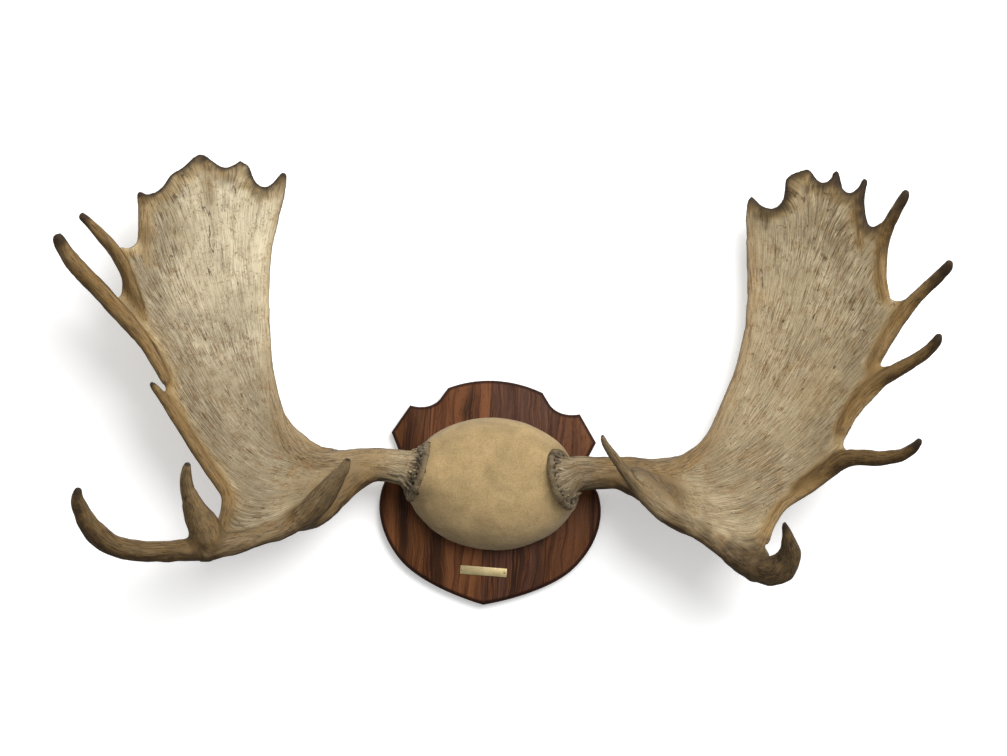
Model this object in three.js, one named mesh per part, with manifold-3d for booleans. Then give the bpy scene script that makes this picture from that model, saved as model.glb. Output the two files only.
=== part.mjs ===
// A pair of moose antlers on a suede-covered skull cap, screwed to a walnut shield plaque.
// Millimetres, +Z up, +X to the right of a person who faces it, and that person stands at -Y.
// The origin is the middle of the plaque's flat back, which lies in the plane Y = 0.
import * as THREE from "three";
import { mergeVertices } from "three/addons/utils/BufferGeometryUtils.js";
import Module from "manifold-3d";

const wasm = await Module();
wasm.setup();

// ---------------------------------------------------------------- driving dimensions
const GAP = 0.3; // clearance between pieces that touch
const FORK_GAP = 0.4; // clearance along an antler's fork, measured straight up
const FAR = 400; // beyond every piece

const PLAQUE = { thickness: 19, edge: 6, archRadius: 172, tipZ: -161, topZ: 162 };
const PLAQUE_SIDES = { right: 1.022, left: 0.988 }; // sawn by eye: the right half is the wider
const FRONT = -PLAQUE.thickness - GAP; // what is fixed to the plaque starts here
const SHIELD = { archHalf: 68, waistX: 136, waistZ: 56, earX: 147, earZ: 80 };
const DOME = { x: 5, z: 12, halfWidth: 124, halfHeight: 95, rise: 86, fullness: 2.3 };
const PEDICLE = { radius: 37, innerRadius: 24, length: 60, lip: 6, forward: 8 };
const BURR = { radius: 44.5, thickness: 15, crown: 1.5, neckRoom: 60 };
const PALM = { thickness: 10, beamExtra: 13, beamReach: 85, cell: 46, margin: 5 };
const NAME_PLATE = { width: 67, height: 12.5, thickness: 1, z: -113.5, x: -2, turn: -1.3 };
const PIN = { radius: 0.9, headRadius: 1.5, head: 0.6, depth: 6, inset: 3.2 };
const SCREW = { radius: 2.4, head: 4.6, headRim: 0.4, headDepth: 3.4, length: 42, point: 2, sink: 0.6 };
const SKULL_SCREWS = [[5, 62], [-42, -18], [52, -18]]; // x, z
const HANGER = { z: 112, width: 17, height: 50, thickness: 2, sink: 0.2 };
const POCKET = { width: 13, height: 30, depth: 10.5 }; // room for a nail's head behind the hanger
const KEYHOLE = { entry: 5.6, slot: 2.6, entryDrop: 7, slotRise: 9 };
const HANGER_SCREW = {
  radius: 1.5, head: 2.9, headRim: 0.4, headDepth: 1.7, length: 13, point: 2, offset: 20.5,
};
const SIDES = { dome: 28, burr: 18, beam: 10, tine: 7, screw: 10, pin: 8, arc: 10, shield: 6 };

// ---------------------------------------------------------------- the antlers' own shape
// A palm is a curved sheet. Its depths are [x, z, y] where the middle of the sheet lies, and its
// outline is [x, z]. Tines, ridges and beams are stations [x, y, z, radius] along their middle.
const LEFT = {
  burr: { centre: [-98, -66, 20], axis: [-0.96, -0.16, 0.23] },
  beamEnd: [-250, 20],
  depths: [
    [-128, 28, -66], [-213, 20, -70], [-269, 14, -74], [-329, 258, -48], [-320, 149, -54],
    [-300, 106, -60], [-327, 344, -52], [-317, 428, -76], [-431, 448, -106], [-375, 444, -92],
    [-513, 388, -138], [-413, 251, -64], [-418, 350, -74], [-471, 201, -94], [-525, 228, -136],
    [-487, 164, -138], [-461, 118, -132], [-424, 37, -126], [-394, 0, -120], [-366, -41, -120],
    [-376, 109, -62], [-363, 38, -72], [-368, -73, -136], [-339, -82, -152], [-308, -79, -156],
    [-284, -66, -150], [-261, -49, -138], [-230, -21, -104], [-537, 304, -150], [-472, 330, -92],
  ],
  outline: [
    [-212, 42], [-241, 50], [-265, 64], [-287, 83], [-306, 116], [-318, 156], [-324, 200],
    [-329, 252], [-331, 298], [-329, 340], [-322, 378], [-316, 410], [-314, 431], [-320, 440],
    [-327, 432], [-332, 426], [-344, 417], [-356, 423], [-362, 435], [-367, 446], [-374, 448],
    [-380, 452], [-388, 445], [-402, 439], [-416, 446], [-432, 455], [-444, 450], [-457, 435],
    [-474, 421], [-484, 405], [-491, 396], [-504, 389], [-515, 391], [-513, 364], [-512, 339],
    [-516, 318], [-526, 310], [-536, 309], [-543, 294], [-533, 274], [-530, 255], [-531, 241],
    [-540, 232], [-523, 209], [-489, 171], [-468, 137], [-461, 118], [-455, 92], [-428, 47],
    [-397, 5], [-375, -23], [-365, -45], [-370, -70], [-378, -86], [-352, -94], [-330, -90],
    [-309, -84], [-288, -71], [-265, -53], [-246, -39], [-222, -28], [-199, -8],
  ],
  beam: [
    [-115, -66, 24, 25], [-128, -66, 26, 24.5], [-150, -67, 28, 24], [-182, -68, 27, 23.5],
    [-213, -70, 24, 22], [-244, -70, 23, 20], [-274, -66, 36, 15],
    [-298, -60, 68, 11], [-312, -56, 110, 9], [-324, -53, 156, 7.5], [-332, -50, 214, 6.5],
    [-337, -49, 271, 6.5], [-336, -51, 329, 6], [-329, -56, 373, 6], [-322, -65, 408, 5.5],
    [-319, -77, 431, 4],
  ],
  tines: [
    [ // the long outer tine, which runs on down the palm as its rim
      [-610, -232, 306, 6], [-604, -224, 295, 9.5], [-591, -208, 277, 12], [-569, -186, 255, 13],
      [-545, -166, 232, 13], [-519, -151, 206, 11.5], [-493, -141, 177, 9.5],
      [-473, -137, 147, 8], [-460, -133, 123, 6],
    ],
    [ // the slim second tine
      [-583, -205, 341, 2], [-567, -195, 328, 5.2], [-550, -180, 311, 8], [-536, -165, 296, 9.5],
      [-524, -150, 273, 9.5], [-512, -134, 243, 9], [-503, -118, 213, 6],
    ],
    [ // the spur and the palm's outer edge below it
      [-480, -150, 120, 1.8], [-469, -141, 109, 6], [-453, -132, 88, 7.5], [-431, -127, 56, 7.5],
      [-407, -122, 23, 7.5], [-384, -120, -7, 7.5], [-368, -120, -31, 7], [-366, -127, -55, 6],
    ],
    [ // the ridge under the sharp upper corner
      [-514, -138, 388, 2.5], [-510, -130, 368, 5], [-506, -122, 338, 6], [-502, -112, 294, 5.5],
      [-491, -100, 242, 4],
    ],
    [ // the ridge under the highest point
      [-431, -107, 450, 4], [-427, -98, 430, 6], [-421, -84, 392, 5],
    ],
  ],
  brow: [
    [ // the rim of the brow palm, which ends in the blade-like inner tine
      [-386, -172, -109, 18], [-346, -166, -98, 15.5], [-310, -158, -88, 11],
      [-279, -152, -76, 10.5], [-255, -155, -59, 14], [-232, -170, -35, 14.5],
      [-213, -190, -9, 10], [-200, -206, 10, 5.5], [-194, -214, 21, 1.8],
    ],
    [ // the stem that leaves the beam's underside
      [-165, -68, 24, 19], [-193, -76, 5, 20.5], [-216, -96, -20, 20], [-239, -122, -48, 20],
      [-263, -143, -63, 14],
    ],
    [ // the upright middle tine
      [-384, -170, -98, 21], [-392, -178, -80, 20], [-401, -191, -63, 16.5],
      [-406, -206, -47, 13.5], [-411, -225, -26, 9.6], [-411, -238, -9, 7], [-409, -247, 2, 3],
    ],
    [ // the long outer brow tine
      [-377, -170, -107, 17.5], [-407, -172, -111, 16.5], [-440, -180, -115, 15],
      [-473, -192, -117, 15], [-509, -214, -111, 15.5], [-534, -238, -91, 15.5],
      [-548, -260, -67, 11.5], [-551, -275, -50, 7.5], [-548, -284, -39, 3],
    ],
  ],
  // The fork: from the beam's underside along the hollow of the palm to the notch, then up
  // between the palm's edge and the middle brow tine.
  fork: [
    [-176, -14], [-195, -4], [-214, -11], [-239, -22], [-263, -36], [-289, -50], [-313, -62],
    [-337, -66], [-361, -68], [-374, -68], [-382, -41], [-389, -26], [-399, -5], [-404, 8],
    [-470, 14], [-600, 14], [-600, -150], [-176, -150],
  ],
  forward: [[-250, -180, -138, -90, 60]], // xMin, xMax, y, zMin, zMax ahead of the palm
};

const RIGHT = {
  burr: { centre: [100.5, -66, 20], axis: [0.87, -0.42, 0.26] },
  beamEnd: [240, 32],
  depths: [
    [156, 31, -66], [220, 32, -72], [284, 47, -66], [360, 390, -50], [367, 295, -46],
    [361, 242, -48], [347, 189, -50], [326, 132, -54], [355, 440, -62], [381, 424, -72],
    [426, 479, -98], [468, 473, -112], [509, 463, -128], [531, 395, -132], [546, 348, -124],
    [549, 298, -132], [541, 202, -136], [494, 91, -132], [444, 297, -66], [432, 381, -76],
    [474, 224, -82], [435, 152, -70], [381, 121, -60], [409, 71, -80], [495, 62, -132],
    [435, 6, -124], [407, -18, -124], [390, -58, -144], [394, -76, -162], [305, 23, -82],
    [354, -4, -96], [318, -17, -112], [269, 5, -104], [228, 17, -112], [295, -41, -150],
    [351, -70, -164], [211, 25, -118],
  ],
  outline: [
    [185, 55], [228, 57], [266, 63], [291, 73], [311, 95], [326, 131], [346, 189], [358, 242],
    [364, 294], [364, 342], [358, 390], [351, 422], [348, 435], [354, 445], [361, 438],
    [369, 431], [381, 426], [391, 429], [398, 441], [398, 462], [401, 470], [415, 477],
    [430, 481], [438, 474], [444, 465], [453, 462], [461, 468], [468, 480], [472, 472],
    [474, 461], [482, 450], [490, 447], [500, 456], [509, 469], [511, 457], [508, 438],
    [512, 414], [520, 398], [533, 405], [544, 411], [552, 403], [545, 368], [545, 328],
    [548, 299], [561, 293], [575, 294], [567, 258], [547, 222], [540, 199], [554, 199],
    [544, 169], [516, 133], [496, 98], [494, 81], [514, 79], [517, 59], [495, 55], [472, 33],
    [435, 4], [411, -13], [394, -43], [388, -62], [393, -76], [381, -86], [358, -79],
    [328, -71], [299, -54], [272, -40], [249, -23], [227, -5], [207, 15], [193, 38],
  ],
  beam: [
    [112, -66, 24, 14], [119, -66, 27, 22], [130, -66, 30, 24.5], [145, -66, 32, 24],
    [173, -68, 34, 23.5],
    [204, -71, 34, 22.5], [234, -71, 35, 18], [266, -66, 47, 14],
    [297, -61, 71, 10.5], [316, -56, 98, 9], [333, -52, 142, 8.5], [350, -49, 195, 7.5],
    [359, -48, 245, 6.5], [362, -47, 295, 6], [359, -48, 345, 6], [356, -51, 388, 6],
    [354, -57, 418, 5.5], [354, -64, 439, 3.5],
  ],
  tines: [
    [ // the uppermost free tine
      [562, -166, 444, 4], [558, -158, 432, 6.6], [548, -146, 412, 8.6], [541, -134, 394, 9.5],
      [538, -125, 365, 7.5], [538, -124, 325, 6.5], [544, -128, 298, 6],
    ],
    [ // the second tine
      [619, -222, 340, 3.8], [615, -213, 331, 7], [605, -196, 319, 8.6], [590, -172, 303, 9],
      [573, -152, 283, 10], [558, -140, 257, 9.5], [540, -134, 222, 8.5], [529, -126, 194, 7],
    ],
    [ // the third tine
      [608, -222, 238, 3], [602, -212, 225, 7], [587, -190, 209, 9.2], [563, -164, 194, 10.5],
      [541, -142, 180, 11], [521, -131, 162, 10], [503, -126, 137, 8.5], [490, -126, 107, 7],
    ],
    [ // the lowest tine of the main palm
      [586, -222, 90, 3], [575, -208, 77, 7], [556, -185, 68, 9.8], [523, -160, 67, 11.5],
      [494, -142, 64, 12.5], [464, -128, 43, 11], [435, -118, 20, 9],
    ],
    [ // the rim from the lowest tine down to the notch
      [485, -134, 55, 8], [459, -127, 32, 8], [432, -123, 11, 7.5], [412, -122, -5, 7],
      [397, -130, -32, 7], [388, -142, -54, 7],
    ],
    [ // the ridge under the middle of the top edge
      [468, -113, 475, 3], [473, -106, 451, 5], [476, -95, 417, 5],
    ],
    [ // the ridge under the top edge's outer point
      [508, -129, 464, 2.8], [504, -124, 442, 5.5], [505, -118, 414, 6], [510, -110, 373, 5.5],
    ],
  ],
  brow: [
    [ // the thick rim of the apron, which ends in the inner tine
      [375, -172, -98, 18.5], [344, -165, -83, 13.5], [318, -158, -66, 10.5],
      [289, -152, -48, 10], [256, -148, -32, 11.5], [230, -147, -14, 11.5],
      [206, -157, 8, 9.5], [186, -176, 29, 7.5],
      [168, -195, 49, 5.5], [157, -207, 62, 4], [152, -215, 71, 1.8],
    ],
    [ // the stem that leaves the beam's underside
      [182, -69, 31, 20], [207, -84, 19, 19], [233, -112, -3, 16], [262, -138, -23, 12],
    ],
    [ // the curled outer tine
      [365, -170, -93, 15], [384, -176, -97, 20], [404, -188, -94, 22],
      [414, -204, -78, 17.5], [413, -220, -61, 12], [407, -233, -46, 7],
      [402, -243, -34, 2.2],
    ],
  ],
  fork: [
    [170, 2], [194, 8], [225, 12], [261, 3], [297, -12], [332, -28], [364, -46], [383, -63],
    [400, -69], [450, -66], [450, -140], [170, -140],
  ],
  forward: [[130, 235, -138, 0, 90], [380, 440, -170, -100, -20]],
};

// ---------------------------------------------------------------- making solids
// A closed three.js geometry as a solid that can be joined and cut.
function solid(geometry) {
  const bare = new THREE.BufferGeometry();
  bare.setAttribute("position", geometry.getAttribute("position").clone());
  if (geometry.index) bare.setIndex(geometry.index.clone());
  const merged = mergeVertices(bare, 1e-3);
  return new wasm.Manifold(
    new wasm.Mesh({
      numProp: 3,
      vertProperties: new Float32Array(merged.getAttribute("position").array),
      triVerts: new Uint32Array(merged.index.array),
    }),
  );
}

function geometryOf(manifold) {
  const mesh = manifold.getMesh();
  const geometry = new THREE.BufferGeometry();
  geometry.setAttribute("position", new THREE.BufferAttribute(mesh.vertProperties, 3));
  geometry.setIndex(new THREE.BufferAttribute(mesh.triVerts, 1));
  geometry.computeVertexNormals();
  return geometry;
}

// Booleans can leave a loose sliver beside a cut. The piece itself is the largest body.
function largest(manifold) {
  const bodies = manifold.decompose();
  return bodies.reduce((best, body) => (body.volume() > best.volume() ? body : best));
}

// A shape drawn in X and Z, as a solid from yFront back to yBack.
function prism(shape, yFront, yBack) {
  const geometry = new THREE.ExtrudeGeometry(shape, {
    depth: yBack - yFront,
    bevelEnabled: false,
    curveSegments: SIDES.arc,
  });
  return solid(geometry.rotateX(Math.PI / 2).translate(0, yBack, 0));
}

function polygon(points) {
  return new THREE.Shape(points.map(([x, z]) => new THREE.Vector2(x, z)));
}

function box(xMin, xMax, yMin, yMax, zMin, zMax) {
  const geometry = new THREE.BoxGeometry(xMax - xMin, yMax - yMin, zMax - zMin);
  return solid(
    geometry.translate((xMin + xMax) / 2, (yMin + yMax) / 2, (zMin + zMax) / 2),
  );
}

// A profile of [radius, distance] turned about a line that starts at a point.
function turned(profile, start, direction, sides) {
  const outline = profile.map(([radius, distance]) => new THREE.Vector2(radius, distance));
  const geometry = new THREE.LatheGeometry(outline, sides);
  const along = new THREE.Vector3(...direction).normalize();
  geometry.applyQuaternion(
    new THREE.Quaternion().setFromUnitVectors(new THREE.Vector3(0, 1, 0), along),
  );
  return solid(geometry.translate(...start));
}

// A round limb through stations [x, y, z, radius], closed by a low point at each end.
function limb(stations, sides) {
  const centres = stations.map(([x, y, z]) => new THREE.Vector3(x, y, z));
  const last = centres.length - 1;
  const ahead = centres.map((centre, i) =>
    centres[Math.min(i + 1, last)].clone().sub(centres[Math.max(i - 1, 0)]).normalize(),
  );
  const across = new THREE.Vector3(0, 1, 0).cross(ahead[0]).normalize();
  const roundness = (1 + 1 / Math.cos(Math.PI / sides)) / 2; // corners out, flats in
  const positions = [];
  centres.forEach((centre, i) => {
    if (i > 0) {
      across.applyQuaternion(
        new THREE.Quaternion().setFromUnitVectors(ahead[i - 1], ahead[i]),
      );
    }
    for (let k = 0; k < sides; k++) {
      const angle = (2 * Math.PI * k) / sides;
      const spoke = across.clone().applyAxisAngle(ahead[i], angle);
      const reach = stations[i][3] * roundness;
      positions.push(...centre.clone().addScaledVector(spoke, reach).toArray());
    }
  });
  const startTip = centres[0].clone().addScaledVector(ahead[0], -0.5 * stations[0][3]);
  const endTip = centres[last].clone().addScaledVector(ahead[last], 0.5 * stations[last][3]);
  positions.push(...startTip.toArray(), ...endTip.toArray());
  const tips = sides * (last + 1);
  const index = [];
  for (let k = 0; k < sides; k++) {
    const next = (k + 1) % sides;
    for (let i = 0; i < last; i++) {
      const a = i * sides + k;
      const b = i * sides + next;
      index.push(a, b, b + sides, a, b + sides, a + sides);
    }
    index.push(tips, next, k);
    index.push(tips + 1, last * sides + k, last * sides + next);
  }
  const geometry = new THREE.BufferGeometry();
  geometry.setAttribute("position", new THREE.Float32BufferAttribute(positions, 3));
  geometry.setIndex(index);
  return solid(geometry);
}

// The smoothest surface y(x, z) through the given depths: a thin-plate spline.
function thinPlate(depths) {
  const bend = (dx, dz) => {
    const square = dx * dx + dz * dz;
    return square < 1e-9 ? 0 : 0.5 * square * Math.log(square);
  };
  const count = depths.length;
  const rows = depths.map(([x, z, y]) => [
    ...depths.map(([px, pz]) => bend(x - px, z - pz)), 1, x, z, y,
  ]);
  rows.push([...depths.map(() => 1), 0, 0, 0, 0]);
  rows.push([...depths.map(([x]) => x), 0, 0, 0, 0]);
  rows.push([...depths.map(([, z]) => z), 0, 0, 0, 0]);
  const size = count + 3;
  for (let column = 0; column < size; column++) {
    let pivot = column;
    for (let row = column; row < size; row++) {
      if (Math.abs(rows[row][column]) > Math.abs(rows[pivot][column])) pivot = row;
    }
    [rows[column], rows[pivot]] = [rows[pivot], rows[column]];
    for (let row = 0; row < size; row++) {
      if (row === column) continue;
      const share = rows[row][column] / rows[column][column];
      for (let k = column; k <= size; k++) rows[row][k] -= share * rows[column][k];
    }
  }
  const weights = rows.map((row, i) => row[size] / row[i]);
  return (x, z) =>
    depths.reduce((sum, [px, pz], i) => sum + weights[i] * bend(x - px, z - pz), 0) +
    weights[count] +
    weights[count + 1] * x +
    weights[count + 2] * z;
}

// ---------------------------------------------------------------- the antlers
// The palm: a slab bent to the sheet's depth, thicker where the beam runs into it, and cut to
// the outline.
function palm(antler) {
  const depth = thinPlate(antler.depths);
  const xs = antler.outline.map(([x]) => x);
  const zs = antler.outline.map(([, z]) => z);
  const [xMin, xMax] = [Math.min(...xs) - PALM.margin, Math.max(...xs) + PALM.margin];
  const [zMin, zMax] = [Math.min(...zs) - PALM.margin, Math.max(...zs) + PALM.margin];
  const columns = Math.round((xMax - xMin) / PALM.cell);
  const rows = Math.round((zMax - zMin) / PALM.cell);
  const slab = new THREE.BoxGeometry(xMax - xMin, 2, zMax - zMin, columns, 1, rows);
  slab.translate((xMin + xMax) / 2, 0, (zMin + zMax) / 2);
  const position = slab.getAttribute("position");
  for (let i = 0; i < position.count; i++) {
    const [x, side, z] = [position.getX(i), position.getY(i), position.getZ(i)];
    const away = Math.hypot(x - antler.beamEnd[0], z - antler.beamEnd[1]) / PALM.beamReach;
    const half = (PALM.thickness + PALM.beamExtra * Math.exp(-away * away)) / 2;
    position.setY(i, depth(x, z) + side * half);
  }
  return solid(slab).intersect(prism(polygon(antler.outline), -FAR, 0));
}

// The burr: the knobbly collar at the antler's base, square to the beam's first stretch.
// Its profile is in shares of its radius and thickness, and grows by a clearance all round.
function burrProfile(grow) {
  const shares = [[0.93, 0, -1], [1, 0.2, 0], [0.98, 0.5, 0], [0.85, 0.75, 1], [0.64, 1.1, 1]];
  return shares.map(([out, along, facing]) => [
    out * BURR.radius + grow,
    along * BURR.thickness + facing * grow,
  ]);
}

function burr({ centre, axis }) {
  const profile = [[0, 0], ...burrProfile(0), [0, BURR.crown * BURR.thickness]];
  return turned(profile, centre, axis, SIDES.burr);
}

// The whole antler, cut once at its main fork into the main palm and the brow palm.
function antlerParts(antler) {
  let whole = palm(antler).add(limb(antler.beam, SIDES.beam)).add(burr(antler.burr));
  for (const stations of [...antler.tines, ...antler.brow]) {
    whole = whole.add(limb(stations, SIDES.tine));
  }
  let cutter = prism(polygon(antler.fork), -FAR, 0);
  for (const [xMin, xMax, y, zMin, zMax] of antler.forward) {
    cutter = cutter.add(box(xMin, xMax, -FAR, y, zMin, zMax));
  }
  return {
    main: largest(whole.subtract(cutter.translate([0, 0, FORK_GAP]))),
    brow: largest(whole.intersect(cutter)),
  };
}

// ---------------------------------------------------------------- the skull cap
// The room that a burr and the neck of its beam need in the suede.
function burrRoom({ centre, axis }) {
  const [foot, rim] = burrProfile(GAP);
  const profile = [[0, -GAP], foot, rim, [rim[0], BURR.neckRoom], [0, BURR.neckRoom]];
  return turned(profile, centre, axis, SIDES.burr);
}

// The shoulder of the suede that reaches out to a burr.
function pedicle({ centre, axis }) {
  const { radius, innerRadius, length, lip, forward } = PEDICLE;
  const along = new THREE.Vector3(...axis).normalize();
  const start = new THREE.Vector3(...centre).addScaledVector(along, -length);
  start.y -= forward;
  const ahead = new THREE.Vector3(...centre).sub(start).toArray();
  const profile = [
    [0, 0], [innerRadius, 0], [radius, length], [radius, length + lip], [0, length + lip],
  ];
  return turned(profile, start.toArray(), ahead, SIDES.burr);
}

// The dome is a rounded-square section turned about its middle, then stretched.
function dome() {
  const points = [new THREE.Vector2(0, 0), new THREE.Vector2(1, 0)];
  const steps = 8;
  for (let i = 1; i < steps; i++) {
    const angle = (i * Math.PI) / 2 / steps;
    const out = Math.pow(Math.cos(angle), 2 / DOME.fullness);
    const up = Math.pow(Math.sin(angle), 2 / DOME.fullness);
    points.push(new THREE.Vector2(out, up));
  }
  points.push(new THREE.Vector2(0, 1));
  const geometry = new THREE.LatheGeometry(points, SIDES.dome);
  geometry.rotateX(Math.PI);
  geometry.scale(DOME.halfWidth, DOME.rise, DOME.halfHeight);
  return geometry.translate(DOME.x, FRONT, DOME.z);
}

function skullCap() {
  let cap = solid(dome());
  for (const antler of [LEFT, RIGHT]) {
    cap = cap.add(pedicle(antler.burr)).subtract(burrRoom(antler.burr));
  }
  return cap.intersect(box(-FAR, FAR, -FAR, FRONT, -FAR, FAR));
}

// ---------------------------------------------------------------- the plaque
// The shield's right half from its bottom tip up to the middle of its arch, then its mirror.
function shieldShape() {
  const { archRadius, topZ, tipZ } = PLAQUE;
  const { archHalf, waistX, waistZ, earX, earZ } = SHIELD;
  const archAngle = Math.asin(archHalf / archRadius);
  const right = new THREE.Path();
  right.moveTo(0, tipZ);
  right.bezierCurveTo(36, -153, 97, -132, 124, -103);
  right.bezierCurveTo(152, -73, 168, -30, 153, 8);
  right.quadraticCurveTo(waistX, 33, waistX, waistZ);
  right.lineTo(earX, earZ);
  right.lineTo(122, 120);
  right.bezierCurveTo(102, 115, 84, 121, 76, 136);
  right.lineTo(archHalf, topZ - archRadius * (1 - Math.cos(archAngle)));
  right.absarc(0, topZ - archRadius, archRadius, Math.PI / 2 - archAngle, Math.PI / 2, false);
  const drawn = right.getPoints(SIDES.shield);
  const clean = drawn.filter((p, i) => i === 0 || p.distanceTo(drawn[i - 1]) > 0.01);
  const half = (side, width) => clean.map((p) => new THREE.Vector2(side * width * p.x, p.y));
  const left = half(-1, PLAQUE_SIDES.left).slice(1, -1).reverse();
  return new THREE.Shape([...half(1, PLAQUE_SIDES.right), ...left]);
}

function keyholeShape() {
  const { entry, slot, entryDrop, slotRise } = KEYHOLE;
  const meet = Math.asin(slot / entry); // where the slot's sides leave the round entry
  const shape = new THREE.Shape();
  shape.absarc(0, HANGER.z - entryDrop, entry, Math.PI / 2 + meet, 2.5 * Math.PI - meet, false);
  shape.absarc(0, HANGER.z + slotRise, slot, 0, Math.PI, false);
  return shape;
}

function rectangleShape(width, height, z) {
  const [w, h] = [width / 2, height / 2];
  return polygon([[-w, z - h], [w, z - h], [w, z + h], [-w, z + h]]);
}

function shieldBoard() {
  const { thickness, edge } = PLAQUE;
  const board = new THREE.ExtrudeGeometry(shieldShape(), {
    depth: thickness - edge,
    bevelThickness: edge,
    bevelSize: edge,
    bevelOffset: -edge,
    bevelSegments: 2,
  });
  board.rotateX(Math.PI / 2);
  const bed = rectangleShape(HANGER.width + 2 * GAP, HANGER.height + 2 * GAP, HANGER.z);
  const pocket = rectangleShape(POCKET.width, POCKET.height, HANGER.z);
  return solid(board)
    .intersect(box(-FAR, FAR, -thickness, 0, -FAR, FAR))
    .subtract(prism(bed, -HANGER.thickness - HANGER.sink - GAP, 1))
    .subtract(prism(pocket, -POCKET.depth, 1));
}

// ---------------------------------------------------------------- fittings
// A countersunk screw driven forward from a depth yBack, grown by a clearance all round.
function screwBody(x, z, screw, yBack, grow) {
  const profile = [
    [0, -grow], [screw.head + grow, -grow], [screw.head + grow, screw.headRim],
    [screw.radius + grow, screw.headDepth + grow], [screw.radius + grow, screw.length + grow],
    [0, screw.length + screw.point + grow],
  ];
  return turned(profile, [x, yBack, z], [0, -1, 0], SIDES.screw);
}

// The open way that a screw's head went in by, from the back to its seat.
function headWay(x, z, screw, yBack) {
  const radius = screw.head + GAP;
  const profile = [[0, -1 - screw.sink], [radius, -1 - screw.sink], [radius, screw.headRim], [0, 1]];
  return turned(profile, [x, yBack, z], [0, -1, 0], SIDES.screw);
}

function hangerPlate() {
  const { width, height, z, thickness, sink } = HANGER;
  const plate = prism(rectangleShape(width, height, z), -thickness - sink, -sink);
  return plate.subtract(prism(keyholeShape(), -FAR, 1));
}

function namePlate(placed) {
  const { width, height, thickness } = NAME_PLATE;
  const sheet = new THREE.BoxGeometry(width, thickness, height);
  return solid(sheet.translate(0, FRONT - thickness / 2, 0).applyMatrix4(placed));
}

// A round-headed pin through the name plate into the board, grown by a clearance all round.
function pin(spot, grow) {
  const { radius, headRadius, head, depth } = PIN;
  const profile = [
    [0, -depth - grow], [radius + grow, -depth - grow], [radius + grow, GAP],
    [headRadius + grow, GAP], [0.7 * headRadius + grow, GAP + head], [0, GAP + 1.3 * head],
  ];
  return turned(profile, [spot.x, FRONT - NAME_PLATE.thickness, spot.z], [0, -1, 0], SIDES.pin);
}

// ---------------------------------------------------------------- colours
function finish(color, roughness, metalness = 0) {
  return new THREE.MeshStandardMaterial({ color, roughness, metalness });
}
const walnut = finish(0x5a3220, 0.4);
const suede = finish(0xa18a5d, 0.95);
const palmBone = finish(0xb09c78, 0.7);
const browBone = finish(0x7a6444, 0.7);
const brass = finish(0xc9b67c, 0.35, 1);
const steel = finish(0x8d8f92, 0.4, 1);

// ---------------------------------------------------------------- assembly
const group = new THREE.Group();
function place(name, body, material) {
  const mesh = new THREE.Mesh(geometryOf(body), material);
  mesh.name = name;
  group.add(mesh);
}

let board = shieldBoard();
let cap = skullCap();
let hanger = hangerPlate();

SKULL_SCREWS.forEach(([x, z], i) => {
  const room = screwBody(x, z, SCREW, -SCREW.sink, GAP);
  board = board.subtract(room).subtract(headWay(x, z, SCREW, -SCREW.sink));
  cap = cap.subtract(room);
  place(`skull_screw_${i + 1}`, screwBody(x, z, SCREW, -SCREW.sink, 0), steel);
});

[-1, 1].forEach((side, i) => {
  const z = HANGER.z + side * HANGER_SCREW.offset;
  const room = screwBody(0, z, HANGER_SCREW, -HANGER.sink, GAP);
  board = board.subtract(room);
  hanger = hanger.subtract(room);
  place(`hanger_screw_${i + 1}`, screwBody(0, z, HANGER_SCREW, -HANGER.sink, 0), steel);
});

// The name plate is nailed on a little askew.
const placed = new THREE.Matrix4()
  .makeTranslation(NAME_PLATE.x, 0, NAME_PLATE.z)
  .multiply(new THREE.Matrix4().makeRotationY(THREE.MathUtils.degToRad(-NAME_PLATE.turn)));
let label = namePlate(placed);
const plateFront = FRONT - NAME_PLATE.thickness;
[-1, 1].forEach((side, i) => {
  const spot = new THREE.Vector3(side * (NAME_PLATE.width / 2 - PIN.inset), 0, 0);
  spot.applyMatrix4(placed);
  const shank = pin(spot, GAP).intersect(box(-FAR, FAR, plateFront - GAP / 2, 0, -FAR, FAR));
  board = board.subtract(shank);
  label = label.subtract(shank);
  place(`name_plate_pin_${i + 1}`, pin(spot, 0), brass);
});

place("plaque", board, walnut);
place("skull_cap", cap, suede);
for (const [name, antler] of [["left", LEFT], ["right", RIGHT]]) {
  const { main, brow } = antlerParts(antler);
  place(`antler_${name}_main`, main, palmBone);
  place(`antler_${name}_brow`, brow, browBone);
}
place("hanger_plate", hanger, steel);
place("name_plate", label, brass);

export default group;
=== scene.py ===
# %% [markdown]
# # A moose antler wall mount
#
# The object is a pair of moose antlers on a suede-covered skull cap, screwed to a walnut shield.
# The frame holds every solid piece at its real size and place. This lesson builds the surfaces
# that are seen: grown bone with its growth lines, pearled burrs, suede, oiled walnut and brass.
# Every piece is made in metres in the frame's own axes: +Z up, +X to the viewer's right, and the
# wall at Y = 0 behind the plaque.

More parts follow.
